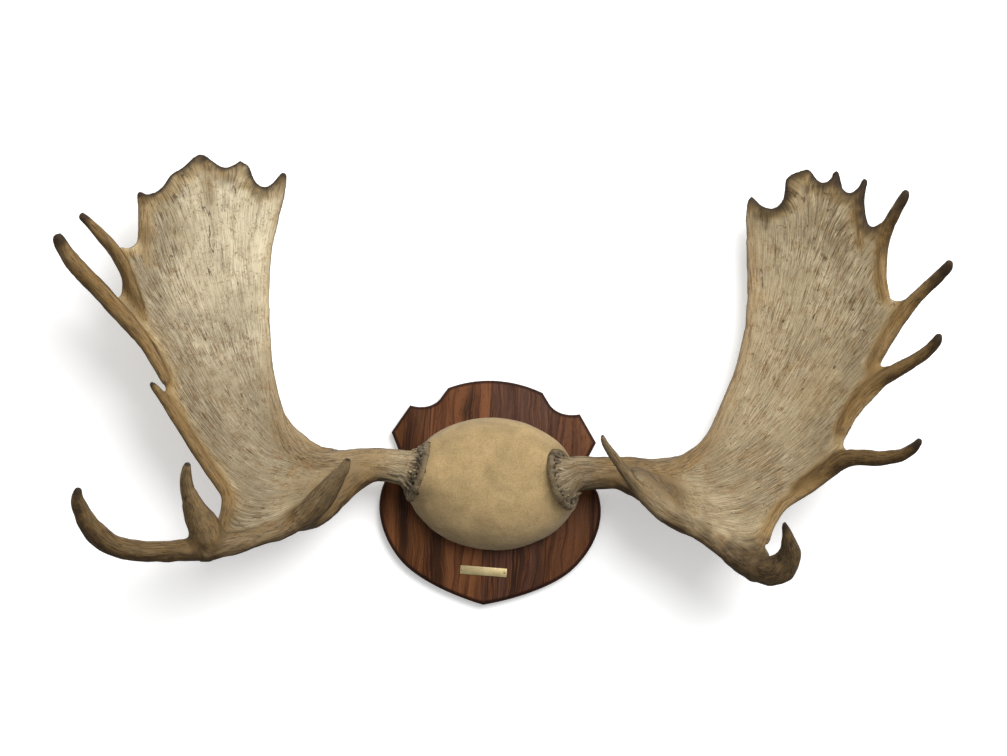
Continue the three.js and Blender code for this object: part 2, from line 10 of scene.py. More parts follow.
# %% Load the frame
import math
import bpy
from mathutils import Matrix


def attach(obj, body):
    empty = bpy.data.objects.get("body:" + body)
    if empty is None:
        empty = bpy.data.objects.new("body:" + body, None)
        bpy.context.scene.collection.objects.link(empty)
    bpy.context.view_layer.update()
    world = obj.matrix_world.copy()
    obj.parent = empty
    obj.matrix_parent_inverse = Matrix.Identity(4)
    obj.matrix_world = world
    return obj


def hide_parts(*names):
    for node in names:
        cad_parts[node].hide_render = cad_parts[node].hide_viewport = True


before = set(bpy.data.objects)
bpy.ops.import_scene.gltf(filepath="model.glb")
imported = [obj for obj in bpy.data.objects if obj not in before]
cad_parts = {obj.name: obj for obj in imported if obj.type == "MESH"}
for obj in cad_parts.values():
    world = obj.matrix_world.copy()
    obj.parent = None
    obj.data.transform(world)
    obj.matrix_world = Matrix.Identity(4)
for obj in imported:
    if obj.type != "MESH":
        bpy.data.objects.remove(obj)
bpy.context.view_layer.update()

from types import SimpleNamespace

import bpy
import numpy as np
from mathutils import Matrix, Vector

# %% [markdown]
# ## Small helpers
#
# An operator acts on whatever is selected, so one helper makes a piece the only selected one.
# Another adds a modifier and applies it at once, as the Apply button would.

# %% Helpers for pieces
MM = 0.001


def select_only(*pieces):
    bpy.ops.object.select_all(action="DESELECT")
    for piece in pieces:
        piece.select_set(True)
    bpy.context.view_layer.objects.active = pieces[0]


def modify(piece, kind, **settings):
    """Adds one modifier with its settings and applies it."""
    select_only(piece)
    modifier = piece.modifiers.new(kind.lower(), kind)
    for setting, value in settings.items():
        setattr(modifier, setting, value)
    bpy.ops.object.modifier_apply(modifier=modifier.name)


def join(pieces):
    select_only(*pieces)
    bpy.ops.object.join()
    return bpy.context.view_layer.objects.active


def apply_place(piece):
    """Moves the object's place, turn and size into its mesh."""
    select_only(piece)
    bpy.ops.object.transform_apply(location=True, rotation=True, scale=True)


def positions(piece):
    """The piece's vertices as rows of x, y, z in metres."""
    flat = np.empty(len(piece.data.vertices) * 3)
    piece.data.vertices.foreach_get("co", flat)
    return flat.reshape(-1, 3)


def set_positions(piece, points):
    piece.data.vertices.foreach_set("co", np.ascontiguousarray(points, float).ravel())
    piece.data.update()


def normals(piece):
    flat = np.empty(len(piece.data.vertices) * 3)
    piece.data.vertex_normals.foreach_get("vector", flat)
    return flat.reshape(-1, 3)


def paint(piece, attribute, values):
    """Writes one number, or three, for every vertex into a named attribute."""
    values = np.ascontiguousarray(values, np.float32)
    kind, key = ("FLOAT", "value") if values.ndim == 1 else ("FLOAT_VECTOR", "vector")
    layer = piece.data.attributes.get(attribute)
    layer = layer or piece.data.attributes.new(attribute, kind, "POINT")
    layer.data.foreach_set(key, values.ravel())


def finish_piece(piece, name, slot, material, *nodes):
    """Names a piece, gives it its finish, and lets it stand for its solids in the frame."""
    piece.name = piece.data.name = name
    piece.data.materials.clear()
    piece.data.materials.append(material)
    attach(piece, "root")
    if nodes:
        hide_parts(*nodes)
    print(name, "has", sum(len(p.vertices) - 2 for p in piece.data.polygons), "triangles")


print("lengths below are in mm, and one is", MM, "of the frame's units")

# %% [markdown]
# Relief and stains that are part of the shape come from a small noise of our own, so that it can
# be worked out for all the vertices of a mesh at once. It gives smooth hills between 0 and 1.

# %% A smooth noise for vertices
def lattice(corner):
    """A fixed random number from 0 to 1 for each whole-numbered corner."""
    mixed = corner[:, 0] * 374761393 + corner[:, 1] * 668265263 + corner[:, 2] * 2147483647
    mixed = (mixed ^ (mixed >> 13)) * 1274126177 & 0xFFFFFFFF
    return ((mixed ^ (mixed >> 16)) & 0xFFFFFF) / 0xFFFFFF


def noise(points):
    """Smooth noise from 0 to 1 at rows of three numbers, with hills about one unit apart."""
    low = np.floor(points).astype(np.int64)
    part = points - low
    part = part * part * (3 - 2 * part)
    total = np.zeros(len(points))
    for dx in (0, 1):
        for dy in (0, 1):
            for dz in (0, 1):
                step = np.array([dx, dy, dz])
                share = np.abs(1 - step - part).prod(axis=1)
                total += share * lattice(low + step)
    return total


def fade(values, start, end):
    """0 before start and 1 past end, with a smooth rise between them."""
    share = np.clip((values - start) / (end - start), 0, 1)
    return share * share * (3 - 2 * share)


print("noise spans", noise(np.random.default_rng(1).random((4000, 3)) * 50).round(2)[:4])

# %% [markdown]
# ## The camera
#
# The mount hangs a little above eye level, so the camera looks up at it by six degrees from four
# metres away, and it is held about three degrees out of level.

# %% Camera
CAMERA_PLACE = Vector((0.012, -3.978, -0.250))
CAMERA_AIM = Vector((0.012, 0.0, 0.168))
CAMERA_ROLL = math.radians(3.04)
PICTURE_WIDTH = 1007
FOCAL_PIXELS = 2758.6

camera_data = bpy.data.cameras.new("camera")
camera_data.sensor_width = 36.0
camera_data.lens = 36.0 * FOCAL_PIXELS / PICTURE_WIDTH
camera_data.clip_end = 50
camera = bpy.data.objects.new("camera", camera_data)
bpy.context.scene.collection.objects.link(camera)
look = (CAMERA_AIM - CAMERA_PLACE).to_track_quat("-Z", "Y").to_matrix().to_4x4()
camera.matrix_world = (
    Matrix.Translation(CAMERA_PLACE) @ look @ Matrix.Rotation(CAMERA_ROLL, 4, "Z")
)
bpy.context.scene.camera = camera
print("lens", round(camera_data.lens, 1), "mm")

# %% [markdown]
# ## The antlers' own shape
#
# Each antler is described as a maker would measure it. Limbs are stations of x, y, z and radius
# in millimetres along their middle. The palm is a curved sheet: its depths are x, z and y where
# the middle of the sheet lies. Its edge is drawn in stretches, because bone grows along the inner
# and outer edges and the rim, and it grows out through the crown and the notch.

# %% The left antler
LEFT = {
    "burr": ((-98, -66, 20), (-0.96, -0.16, 0.23)),
    "beam_end": (-250, 20),
    "depths": [
        (-128, 28, -66), (-213, 20, -70), (-269, 14, -74), (-329, 258, -48), (-320, 149, -54),
        (-300, 106, -60), (-327, 344, -52), (-317, 428, -76), (-431, 448, -106), (-375, 444, -92),
        (-513, 388, -138), (-413, 251, -64), (-418, 350, -74), (-471, 201, -94),
        (-525, 228, -136), (-487, 164, -138), (-461, 118, -132), (-424, 37, -126),
        (-394, 0, -120), (-366, -41, -120), (-376, 109, -62), (-363, 38, -72), (-368, -73, -136),
        (-339, -82, -152), (-308, -79, -156), (-284, -66, -150), (-261, -49, -138),
        (-230, -21, -104), (-537, 304, -150), (-472, 330, -92),
    ],
    "outline": {
        "inner": [
            (-212, 42), (-241, 50), (-265, 64), (-287, 83), (-306, 116), (-318, 156),
            (-324, 200), (-329, 252), (-331, 298), (-329, 340), (-322, 378), (-316, 410),
        ],
        "crown": [
            (-314, 431), (-320, 440), (-327, 432), (-332, 426), (-344, 417), (-356, 423),
            (-362, 435), (-367, 446), (-374, 448), (-380, 452), (-388, 445), (-402, 439),
            (-416, 446), (-432, 455), (-444, 450), (-457, 435), (-474, 421), (-484, 405),
            (-491, 396),
        ],
        "outer": [
            (-504, 389), (-515, 391), (-513, 364), (-512, 339), (-516, 318), (-526, 310),
            (-536, 309), (-543, 294), (-533, 274), (-530, 255), (-531, 241), (-540, 232),
            (-523, 209), (-489, 171), (-468, 137), (-461, 118), (-455, 92), (-428, 47),
            (-397, 5), (-375, -23), (-365, -45),
        ],
        "notch": [(-370, -70), (-378, -86), (-352, -94)],
        "rim": [
            (-330, -90), (-309, -84), (-288, -71), (-265, -53), (-246, -39), (-222, -28),
            (-199, -8),
        ],
    },
    "beam": [
        (-100, -66.5, 20.5, 37), (-106, -67.3, 22, 32), (-114, -67.5, 24, 28),
        (-128, -66.5, 26, 25), (-150, -67, 28, 24), (-182, -68, 27, 23.5),
        (-213, -70, 24, 22), (-244, -70, 23, 20), (-274, -66, 36, 15), (-298, -60, 68, 11),
        (-312, -56, 110, 9), (-324, -53, 156, 7.5), (-332, -50, 214, 6.5), (-337, -49, 271, 6.5),
        (-336, -51, 329, 6), (-329, -56, 373, 6), (-322, -66, 408, 6.5), (-318, -78, 436, 5.5),
    ],
    "tines": {
        "long": [
            (-608.5, -232, 306, 7), (-604, -224, 295, 10), (-591, -208, 277, 12),
            (-569, -186, 255, 13), (-545, -166, 232, 13), (-519, -151, 206, 11.5),
            (-493, -141, 177, 9.5), (-473, -137, 147, 8), (-460, -133, 123, 6),
        ],
        "second": [
            (-583, -205, 341, 5.5), (-567, -195, 328, 7.8), (-550, -180, 311, 9),
            (-536, -165, 296, 9.5), (-524, -150, 273, 9.5), (-512, -134, 243, 9),
            (-503, -118, 213, 6),
        ],
        "spur": [
            (-479, -149, 119, 3.2), (-469, -141, 109, 6), (-453, -132, 88, 7.5),
            (-431, -127, 56, 7.5), (-407, -122, 23, 7.5), (-384, -120, -7, 7.5),
            (-368, -120, -31, 7), (-366, -127, -55, 7), (-372, -142, -80, 8),
        ],
        "corner": [
            (-514, -138, 387, 3.5), (-510, -130, 366, 5.5), (-508, -124, 342, 6.5),
            (-507, -118, 316, 6), (-503, -110, 290, 4),
        ],
        "peak": [(-431, -107, 450, 4), (-427, -98, 430, 6), (-421, -84, 392, 5)],
    },
    "brow": {
        "inner_tine": [
            (-194, -214, 22, 5), (-200, -206, 10, 8.5), (-214, -190, -9, 13.5),
            (-233, -170, -34, 17.5), (-255, -155, -56, 16), (-279, -152, -75, 12),
            (-310, -158, -88, 11), (-346, -166, -98, 15.5), (-386, -172, -109, 18),
        ],
        "stem": [
            (-165, -68, 24, 19), (-193, -76, 5, 20.5), (-216, -96, -20, 20),
            (-239, -122, -48, 20), (-263, -143, -63, 14),
        ],
        "middle_tine": [
            (-409, -247, 2, 4.5), (-411, -238, -9, 7.5), (-411, -225, -26, 10),
            (-405, -206, -47, 14.5), (-398, -191, -63, 19), (-388, -178, -80, 23.5),
            (-382, -170, -98, 22),
        ],
        "outer_tine": [
            (-549, -282, -41, 4.5), (-551, -275, -50, 8), (-548, -260, -67, 11.5),
            (-534, -238, -91, 15.5), (-509, -214, -111, 15.5), (-473, -192, -117, 15),
            (-440, -180, -115, 15), (-407, -172, -111, 16.5), (-377, -170, -107, 17.5),
        ],
    },
}
print("left antler:", 1 + len(LEFT["tines"]) + len(LEFT["brow"]), "limbs")

# %% The right antler
RIGHT = {
    "burr": ((100.5, -66, 20), (0.87, -0.42, 0.26)),
    "beam_end": (240, 32),
    "depths": [
        (156, 31, -66), (220, 32, -72), (284, 47, -66), (360, 390, -50), (367, 295, -46),
        (361, 242, -48), (347, 189, -50), (326, 132, -54), (355, 440, -62), (381, 424, -72),
        (426, 479, -98), (468, 473, -112), (509, 463, -128), (531, 395, -132), (546, 348, -124),
        (549, 298, -132), (541, 202, -136), (494, 91, -132), (444, 297, -66), (432, 381, -76),
        (474, 224, -82), (435, 152, -70), (381, 121, -60), (409, 71, -80), (495, 62, -132),
        (435, 6, -124), (407, -18, -124), (390, -58, -144), (394, -76, -162), (305, 23, -82),
        (354, -4, -96), (318, -17, -112), (269, 5, -104), (228, 17, -112), (295, -41, -150),
        (351, -70, -164), (211, 25, -118),
    ],
    "outline": {
        "inner": [
            (185, 55), (228, 57), (266, 63), (291, 73), (311, 95), (326, 131), (346, 189),
            (358, 242), (364, 294), (364, 342), (358, 390), (351, 422),
        ],
        "crown": [
            (348, 435), (354, 445), (361, 438), (369, 431), (381, 426), (391, 429), (398, 441),
            (398, 462), (401, 470), (415, 477), (430, 481), (438, 474), (444, 465), (453, 462),
            (461, 468), (468, 480), (472, 472), (474, 461), (482, 450), (490, 447), (500, 456),
            (509, 469), (511, 457), (508, 438), (512, 414), (520, 398), (533, 405), (544, 411),
            (552, 403),
        ],
        "outer": [
            (545, 368), (545, 328), (548, 299), (561, 293), (575, 294), (567, 258), (547, 222),
            (540, 199), (554, 199), (544, 169), (516, 133), (496, 98), (494, 81), (514, 79),
            (517, 59), (495, 55), (472, 33), (435, 4), (411, -13), (394, -43),
        ],
        "notch": [(388, -62), (393, -76), (381, -86)],
        "rim": [
            (358, -79), (328, -71), (299, -54), (272, -40), (249, -23), (227, -5), (207, 15),
            (193, 38),
        ],
    },
    "beam": [
        (103, -68, 21, 37), (108, -70, 23.5, 32.5), (115, -70, 27, 28), (127, -67.5, 30, 25),
        (145, -66, 32, 24), (173, -68, 34, 23.5), (204, -71, 34, 22.5), (234, -71, 35, 18),
        (266, -66, 47, 14), (297, -61, 71, 10.5), (316, -56, 98, 9), (333, -52, 142, 8.5),
        (350, -49, 195, 7.5), (359, -48, 245, 6.5), (362, -47, 295, 6), (359, -48, 345, 6),
        (356, -51, 388, 6), (354, -57, 418, 6), (354, -63, 437, 5),
    ],
    "tines": {
        "first": [
            (562, -165, 442, 5.5), (558, -158, 432, 7.6), (548, -146, 412, 9),
            (541, -134, 394, 9.5), (538, -125, 365, 7.5), (538, -124, 325, 6.5),
            (544, -128, 298, 6),
        ],
        "second": [
            (617.3, -221, 338, 5.2), (615, -213, 331, 8), (605, -196, 319, 8.6),
            (590, -172, 303, 9), (573, -152, 283, 10), (558, -140, 257, 9.5),
            (540, -134, 222, 8.5), (529, -126, 194, 7),
        ],
        "third": [
            (607, -221, 236, 4.5), (602, -212, 225, 7.8), (587, -190, 209, 9.2),
            (563, -164, 194, 10.5), (541, -142, 180, 11), (521, -131, 162, 10),
            (503, -126, 137, 8.5), (490, -126, 107, 7),
        ],
        "lowest": [
            (585, -221, 89, 4.5), (575, -208, 77, 7.8), (556, -185, 68, 9.8), (523, -160, 67, 11.5),
            (494, -142, 64, 12.5), (464, -128, 43, 11), (435, -118, 20, 9),
        ],
        "edge": [
            (485, -134, 55, 8), (459, -127, 32, 8), (432, -123, 11, 7), (412, -122, -5, 6),
            (396, -130, -32, 5.5), (387, -143, -56, 6.5),
        ],
        "middle_point": [(468, -113, 475, 4.5), (473, -106, 451, 6), (476, -95, 417, 5)],
        "outer_point": [
            (508, -129, 463, 4.2), (504, -124, 442, 6), (505, -118, 414, 6),
            (510, -110, 373, 5.5),
        ],
    },
    "brow": {
        "inner_tine": [
            (151, -216, 73, 3.2), (157, -207, 62, 5), (168, -195, 49, 6.5), (186, -176, 29, 8),
            (206, -157, 8, 9.5), (230, -147, -14, 11.5), (256, -148, -32, 11.5),
            (289, -152, -48, 10), (318, -158, -66, 10.5), (344, -165, -83, 13.5),
            (375, -172, -98, 18.5),
        ],
        "stem": [(182, -69, 31, 20), (207, -84, 19, 19), (233, -112, -3, 16), (262, -138, -23, 12)],
        "curl": [
            (402, -243, -34, 2.2), (407, -233, -46, 7), (413, -220, -61, 12),
            (414, -204, -78, 17.5), (404, -188, -94, 22), (384, -176, -97, 20),
            (365, -170, -93, 15),
        ],
    },
}
print("right antler:", 1 + len(RIGHT["tines"]) + len(RIGHT["brow"]), "limbs")

# %% [markdown]
# ## Growing an antler
#
# A limb is easiest as a curve with a round bevel, because each point of a curve carries its own
# radius. The stations are joined by a smooth curve first, and the ends are rounded by a few more
# points whose radius falls away like a ball's.

# %% Limbs from tapered curves
PATH_STEP = 4.0  # mm between the points of a smoothed path
SHRINK = 1.5  # mm that smoothing takes off a thin tip later, so the tip starts this much larger


def smooth_rows(rows, closed=False):
    """A smooth curve through rows of numbers, about a point every PATH_STEP."""
    rows = np.array(rows, float)
    if closed:
        rows = np.vstack([rows[-1:], rows, rows[:2]])
    else:
        rows = np.vstack([2 * rows[0] - rows[1], rows, 2 * rows[-1] - rows[-2]])
    made = []
    for before, start, end, after in zip(rows, rows[1:], rows[2:], rows[3:]):
        count = max(2, round(np.linalg.norm((end - start)[:3]) / PATH_STEP))
        t = np.linspace(0, 1, count, endpoint=False)[:, None]
        bend = 2 * before - 5 * start + 4 * end - after
        twist = 3 * start - before - 3 * end + after
        made.append(start + 0.5 * ((end - before) * t + bend * t**2 + twist * t**3))
    if not closed:
        made.append(rows[-2:-1])
    return np.vstack(made)


def limb(stations):
    """A round tapered limb with rounded ends, as a mesh."""
    path = smooth_rows(stations)
    path[:, 3] += SHRINK * np.exp(-((path[:, 3] / 7) ** 2))
    cap = np.radians([30, 55, 75, 87])
    ends = []
    for tip, inner in ((path[0], path[1]), (path[-1], path[-2])):
        out = (tip - inner)[:3] / np.linalg.norm((tip - inner)[:3])
        reach = tip[:3] + 0.55 * tip[3] * np.outer(np.sin(cap), out)
        ends.append(np.column_stack([reach, tip[3] * np.cos(cap)]))
    path = np.vstack([ends[0][::-1], path, ends[1]])
    curve = bpy.data.curves.new("limb", "CURVE")
    curve.dimensions = "3D"
    curve.bevel_depth = MM
    curve.bevel_resolution = 6
    curve.use_fill_caps = True
    spline = curve.splines.new("POLY")
    spline.points.add(len(path) - 1)
    for point, (x, y, z, radius) in zip(spline.points, path):
        point.co = (x * MM, y * MM, z * MM, 1)
        point.radius = radius
    piece = bpy.data.objects.new("limb", curve)
    bpy.context.scene.collection.objects.link(piece)
    select_only(piece)
    bpy.ops.object.convert(target="MESH")
    return bpy.context.view_layer.objects.active


print("the left beam has", len(smooth_rows(LEFT["beam"])), "points along its middle")

# %% [markdown]
# A palm's edge has no corners: it swings in and out between the tines. A few points on each
# stretch of it are joined by one smooth closed line. The helpers here find how far a point is
# from that line, and whether it lies inside.

# %% The palm's edge
STRETCHES = ("inner", "crown", "outer", "notch", "rim")


def to_path(points, path, closed=True):
    """Each point's distance to a drawn line, the nearest place on it and which piece of it."""
    start, end = (path, np.roll(path, -1, axis=0)) if closed else (path[:-1], path[1:])
    run = end - start
    length = (run**2).sum(1)
    best = np.full(len(points), np.inf)
    place = np.zeros_like(points)
    owner = np.zeros(len(points), int)
    for part in np.array_split(np.arange(len(points)), len(points) // 6000 + 1):
        off = points[part, None] - start
        along = np.clip((off * run).sum(2) / length, 0, 1)
        nearest = start + along[..., None] * run
        gap = np.linalg.norm(points[part, None] - nearest, axis=2)
        pick = gap.argmin(1)
        rows = np.arange(len(part))
        best[part] = gap[rows, pick]
        place[part] = nearest[rows, pick]
        owner[part] = pick
    return best, place, owner


def inside(points, path):
    """Which points lie inside a closed drawn line."""
    result = np.zeros(len(points), bool)
    for (x0, z0), (x1, z1) in zip(path, np.roll(path, -1, axis=0)):
        if z0 == z1:
            continue
        crosses = (z0 > points[:, 1]) != (z1 > points[:, 1])
        crossing = x0 + (points[:, 1] - z0) * (x1 - x0) / (z1 - z0)
        result ^= crosses & (points[:, 0] < crossing)
    return result


def outline_of(antler):
    """The palm's edge as one smooth closed line, and the stretch that each point belongs to."""
    corners = [point for stretch in STRETCHES for point in antler["outline"][stretch]]
    owners = [k for k, stretch in enumerate(STRETCHES) for _ in antler["outline"][stretch]]
    rows = [(x, z, 0.0) for x, z in corners]
    path = smooth_rows(rows, closed=True)[:, :2]
    nearest = to_path(path, np.array(corners, float))[2]
    return path, np.array(owners)[nearest]


print("the left palm's edge has", len(outline_of(LEFT)[0]), "points")

# %% [markdown]
# The palm starts as a flat grid. Its vertices are kept where they lie inside the drawn edge, the
# outermost ones are pulled onto the edge, and all of them are pushed to the depth of the
# smoothest surface through the depths judged for that palm. Solidify then gives the bone its
# thickness, from a vertex group: thick where the beam runs in, and thinning to a rounded edge.

# %% The palm's sheet
BONE = {"thickness": 9.5, "beam_extra": 13.0, "beam_reach": 85.0, "edge": 8.0}
GRID_STEP = 3.0  # mm


def thin_plate(depths):
    """The smoothest surface y(x, z) through the given depths, as a function."""
    x, z, y = np.array(depths, float).T

    def bend(dx, dz):
        square = dx * dx + dz * dz
        return np.where(square < 1e-9, 0, 0.5 * square * np.log(np.maximum(square, 1e-9)))

    count = len(x)
    system = np.zeros((count + 3, count + 3))
    system[:count, :count] = bend(x[:, None] - x, z[:, None] - z)
    system[:count, count:] = np.column_stack([np.ones(count), x, z])
    system[count:, :count] = system[:count, count:].T
    weights = np.linalg.solve(system, np.append(y, [0, 0, 0]))

    def depth(px, pz):
        near = bend(np.subtract.outer(px, x), np.subtract.outer(pz, z)) @ weights[:count]
        return near + weights[count] + weights[count + 1] * px + weights[count + 2] * pz

    return depth


def palm_sheet(antler, path):
    low, high = path.min(0) - 6, path.max(0) + 6
    columns, rows = np.ceil((high - low) / GRID_STEP).astype(int)
    bpy.ops.object.select_all(action="DESELECT")
    bpy.ops.mesh.primitive_grid_add(x_subdivisions=columns, y_subdivisions=rows, size=1)
    sheet = bpy.context.view_layer.objects.active
    flat = (positions(sheet)[:, :2] + 0.5) * (high - low) + low
    gap, edge, _ = to_path(flat, path)
    within = inside(flat, path)
    edges = np.empty(len(sheet.data.edges) * 2, int)
    sheet.data.edges.foreach_get("vertices", edges)
    edges = edges.reshape(-1, 2)
    beside = np.zeros(len(flat), bool)
    beside[edges[within[edges[:, 0]], 1]] = True
    beside[edges[within[edges[:, 1]], 0]] = True
    outermost = beside & ~within
    flat[outermost] = edge[outermost]
    depth = thin_plate(antler["depths"])(flat[:, 0], flat[:, 1])
    set_positions(sheet, np.column_stack([flat[:, 0], depth, flat[:, 1]]) * MM)
    away = np.hypot(*(flat - antler["beam_end"]).T) / BONE["beam_reach"]
    full = BONE["thickness"] + BONE["beam_extra"] * np.exp(-away * away)
    inner = np.clip(np.where(outermost, 0, gap) / BONE["edge"], 0, 1)
    share = np.sqrt(np.clip(1 - (1 - inner) ** 2, 0.03, 1))
    thickest = BONE["thickness"] + BONE["beam_extra"]
    group = sheet.vertex_groups.new(name="thickness")
    for vertex, weight in enumerate(full * share / thickest):
        group.add([vertex], float(weight), "REPLACE")
    select_only(sheet)
    bpy.ops.object.mode_set(mode="EDIT")
    bpy.ops.mesh.select_all(action="DESELECT")
    bpy.ops.object.mode_set(mode="OBJECT")
    sheet.data.vertices.foreach_set("select", ~(within | outermost))
    bpy.ops.object.mode_set(mode="EDIT")
    bpy.ops.mesh.delete(type="VERT")
    bpy.ops.object.mode_set(mode="OBJECT")
    modify(
        sheet, "SOLIDIFY", thickness=thickest * MM, offset=0.0, vertex_group="thickness",
        thickness_vertex_group=0.0,
    )
    sheet.vertex_groups.clear()
    return sheet


print("the left palm is laid through", len(LEFT["depths"]), "depths")

# %% [markdown]
# Sheet and limbs overlap. Voxel Remesh melts them into one skin of even little squares. Real
# antlers have no sharp valley where a tine leaves the palm, so the skin is smoothed, and then
# only its hollows are filled: a point moves out wherever its neighbours stand above it.

# %% Melting and smoothing
SMOOTH_ROUNDS = 5
FILL_ROUNDS = 45
CREST_SHARE = 0.08  # how far a crest may sink while a hollow beside it rises by one
NEW_NORMALS = 15  # filling rounds between two looks at which way is out


def mean_of_neighbours(piece):
    """A function that averages rows of numbers over each vertex's neighbours."""
    edges = np.empty(len(piece.data.edges) * 2, int)
    piece.data.edges.foreach_get("vertices", edges)
    start, end = edges.reshape(-1, 2).T
    count = len(piece.data.vertices)
    shares = np.bincount(start, minlength=count) + np.bincount(end, minlength=count)

    def mean(values):
        columns = values.reshape(count, -1).T
        sums = [np.bincount(start, c[end], count) + np.bincount(end, c[start], count)
                for c in columns]
        return (np.array(sums) / shares).T.reshape(values.shape)

    return mean


def relax(piece):
    """Smooths a skin a little all over, then fills its sharp valleys."""
    mean = mean_of_neighbours(piece)
    points = positions(piece)
    for _ in range(SMOOTH_ROUNDS):
        points = points + 0.5 * (mean(points) - points)
    set_positions(piece, points)
    outward = normals(piece)
    for round_number in range(FILL_ROUNDS):
        move = mean(points) - points
        hollow = (move * outward).sum(1)
        points = points + 0.6 * np.where(hollow > 0, 1, CREST_SHARE)[:, None] * move
        if round_number % NEW_NORMALS == NEW_NORMALS - 1:
            set_positions(piece, points)
            outward = normals(piece)
    set_positions(piece, points)


print("a skin is smoothed", SMOOTH_ROUNDS, "times and filled", FILL_ROUNDS, "times")

# %% [markdown]
# ## Growth lines
#
# The fine lines on a palm run as the bone grew: in from the beam, along the edges, and out to the
# crown and the tines. They are the lines of a slow flow through the sheet. Such a flow is found by
# giving the inner edge the value 0, the rim 1 and the outer edge values that rise from its upper
# corner to the notch, and averaging all the places inside until they settle. Lines of equal value
# are then the growth lines, which fan out and slowly run into the outer edge.

# %% The flow through a palm
FLOW_STEP = 5.0  # mm
FLOW_ROUNDS = 3500
FLOW_EDGE = {"inner": (0.0, 0.0), "outer": (0.42, 0.97), "rim": (1.0, 1.0)}
SPREAD_ROUNDS = 40


def sums_beside(value, counted):
    """For each place of a grid, the sum of its neighbours that count, and how many there are."""
    total = np.zeros_like(value)
    share = np.zeros_like(value)
    for axis in (0, 1):
        for turn in (1, -1):
            total += np.roll(value * counted, turn, axis)
            share += np.roll(counted, turn, axis)
    return total, share


def growth_flow(path, owners):
    """A function that gives the flow's value at x, z."""
    low, high = path.min(0) - 3 * FLOW_STEP, path.max(0) + 3 * FLOW_STEP
    xs = np.arange(low[0], high[0], FLOW_STEP)
    zs = np.arange(low[1], high[1], FLOW_STEP)
    places = np.array(np.meshgrid(xs, zs, indexing="ij")).reshape(2, -1).T
    within = inside(places, path).reshape(len(xs), len(zs))
    _, _, nearest = to_path(places, path)
    stretch = owners[nearest].reshape(within.shape)
    value = np.full(within.shape, 0.5)
    held = np.zeros(within.shape, bool)
    for k, name in enumerate(STRETCHES):
        if name in FLOW_EDGE:
            here = ~within & (stretch == k)
            along = np.cumsum(owners == k)[nearest] / np.sum(owners == k)
            start, end = FLOW_EDGE[name]
            value[here] = start + (end - start) * along.reshape(within.shape)[here]
            held |= here
    counted = within.astype(float) + held
    for _ in range(FLOW_ROUNDS):
        total, share = sums_beside(value, counted)
        value = np.where(within, total / np.maximum(share, 1), value)

    # Past the edge, every place takes the value of its nearest inside place, spread outwards.
    known = within.astype(float)
    for _ in range(SPREAD_ROUNDS):
        total, share = sums_beside(value, known)
        fresh = (known == 0) & (share > 0)
        value = np.where(fresh, total / np.maximum(share, 1), value)
        known[fresh] = 1

    def flow(x, z):
        column = np.clip((x - xs[0]) / FLOW_STEP, 0, len(xs) - 1.001)
        row = np.clip((z - zs[0]) / FLOW_STEP, 0, len(zs) - 1.001)
        i, j = column.astype(int), row.astype(int)
        a, b = column - i, row - j
        lower = value[i, j] * (1 - a) + value[i + 1, j] * a
        upper = value[i, j + 1] * (1 - a) + value[i + 1, j + 1] * a
        return lower * (1 - b) + upper * b

    return flow


print("the flow is worked out every", FLOW_STEP, "mm in", FLOW_ROUNDS, "rounds")

# %% [markdown]
# The limbs have lines of their own, which run along each tine. So every vertex also needs its
# nearest limb, how far it is from that limb's tip, and where it stands round the limb's middle.

# %% Where a vertex stands on its nearest limb
def frames_along(path):
    """Directions ahead, aside and up at each point of a path, which never twist about it."""
    ahead = np.gradient(path[:, :3], axis=0)
    ahead /= np.linalg.norm(ahead, axis=1)[:, None]
    aside = np.cross([0.0, 1.0, 0.0], ahead[0])
    asides = []
    for direction in ahead:
        aside = aside - (aside @ direction) * direction
        aside /= np.linalg.norm(aside)
        asides.append(aside)
    return ahead, np.array(asides), np.cross(ahead, asides)


def travelled(path):
    """How far along a path each of its points lies."""
    steps = np.linalg.norm(np.diff(path[:, :3], axis=0), axis=1)
    return np.append(0, np.cumsum(steps))


def read_limbs(points, limbs):
    """Each point's nearest limb, its gap to that limb's skin, and its place (a, b, along)."""
    nearest = np.full(len(points), np.inf)
    owner = np.zeros(len(points), int)
    place = np.zeros_like(points)
    for number, stations in enumerate(limbs):
        path = smooth_rows(stations)
        ahead, aside, up = frames_along(path)
        distance = travelled(path)
        for part in np.array_split(np.arange(len(points)), len(points) // 6000 + 1):
            off = points[part, None] - path[:, :3]
            gap = np.linalg.norm(off, axis=2) - path[:, 3]
            pick = gap.argmin(1)
            rows = np.arange(len(part))
            step = off[rows, pick]
            better = gap[rows, pick] < nearest[part]
            chosen = part[better]
            nearest[chosen] = gap[rows, pick][better]
            owner[chosen] = number
            local = np.column_stack([
                (step * aside[pick]).sum(1),
                (step * up[pick]).sum(1),
                distance[pick] + (step * ahead[pick]).sum(1),
            ])
            place[chosen] = local[better]
    return owner, nearest, place


def radius_beside(place, owner, limbs):
    """The radius of the nearest limb beside each vertex."""
    radius = np.zeros(len(place))
    for number, stations in enumerate(limbs):
        path = smooth_rows(stations)
        here = owner == number
        radius[here] = np.interp(place[here, 2], travelled(path), path[:, 3])
    return radius


long_tine = smooth_rows(LEFT["tines"]["long"])
print("the left antler's long tine measures", round(travelled(long_tine)[-1]), "mm")

# %% [markdown]
# One skin per antler comes out of all this. What the relief and the stains need to know is read
# at every vertex: the nearest limb and the place on it, how much the vertex belongs to that limb
# rather than to the palm, and the place in the palm's flow. Close to the burr, all places are set
# on a round of one size, so that the flutes there keep their width.

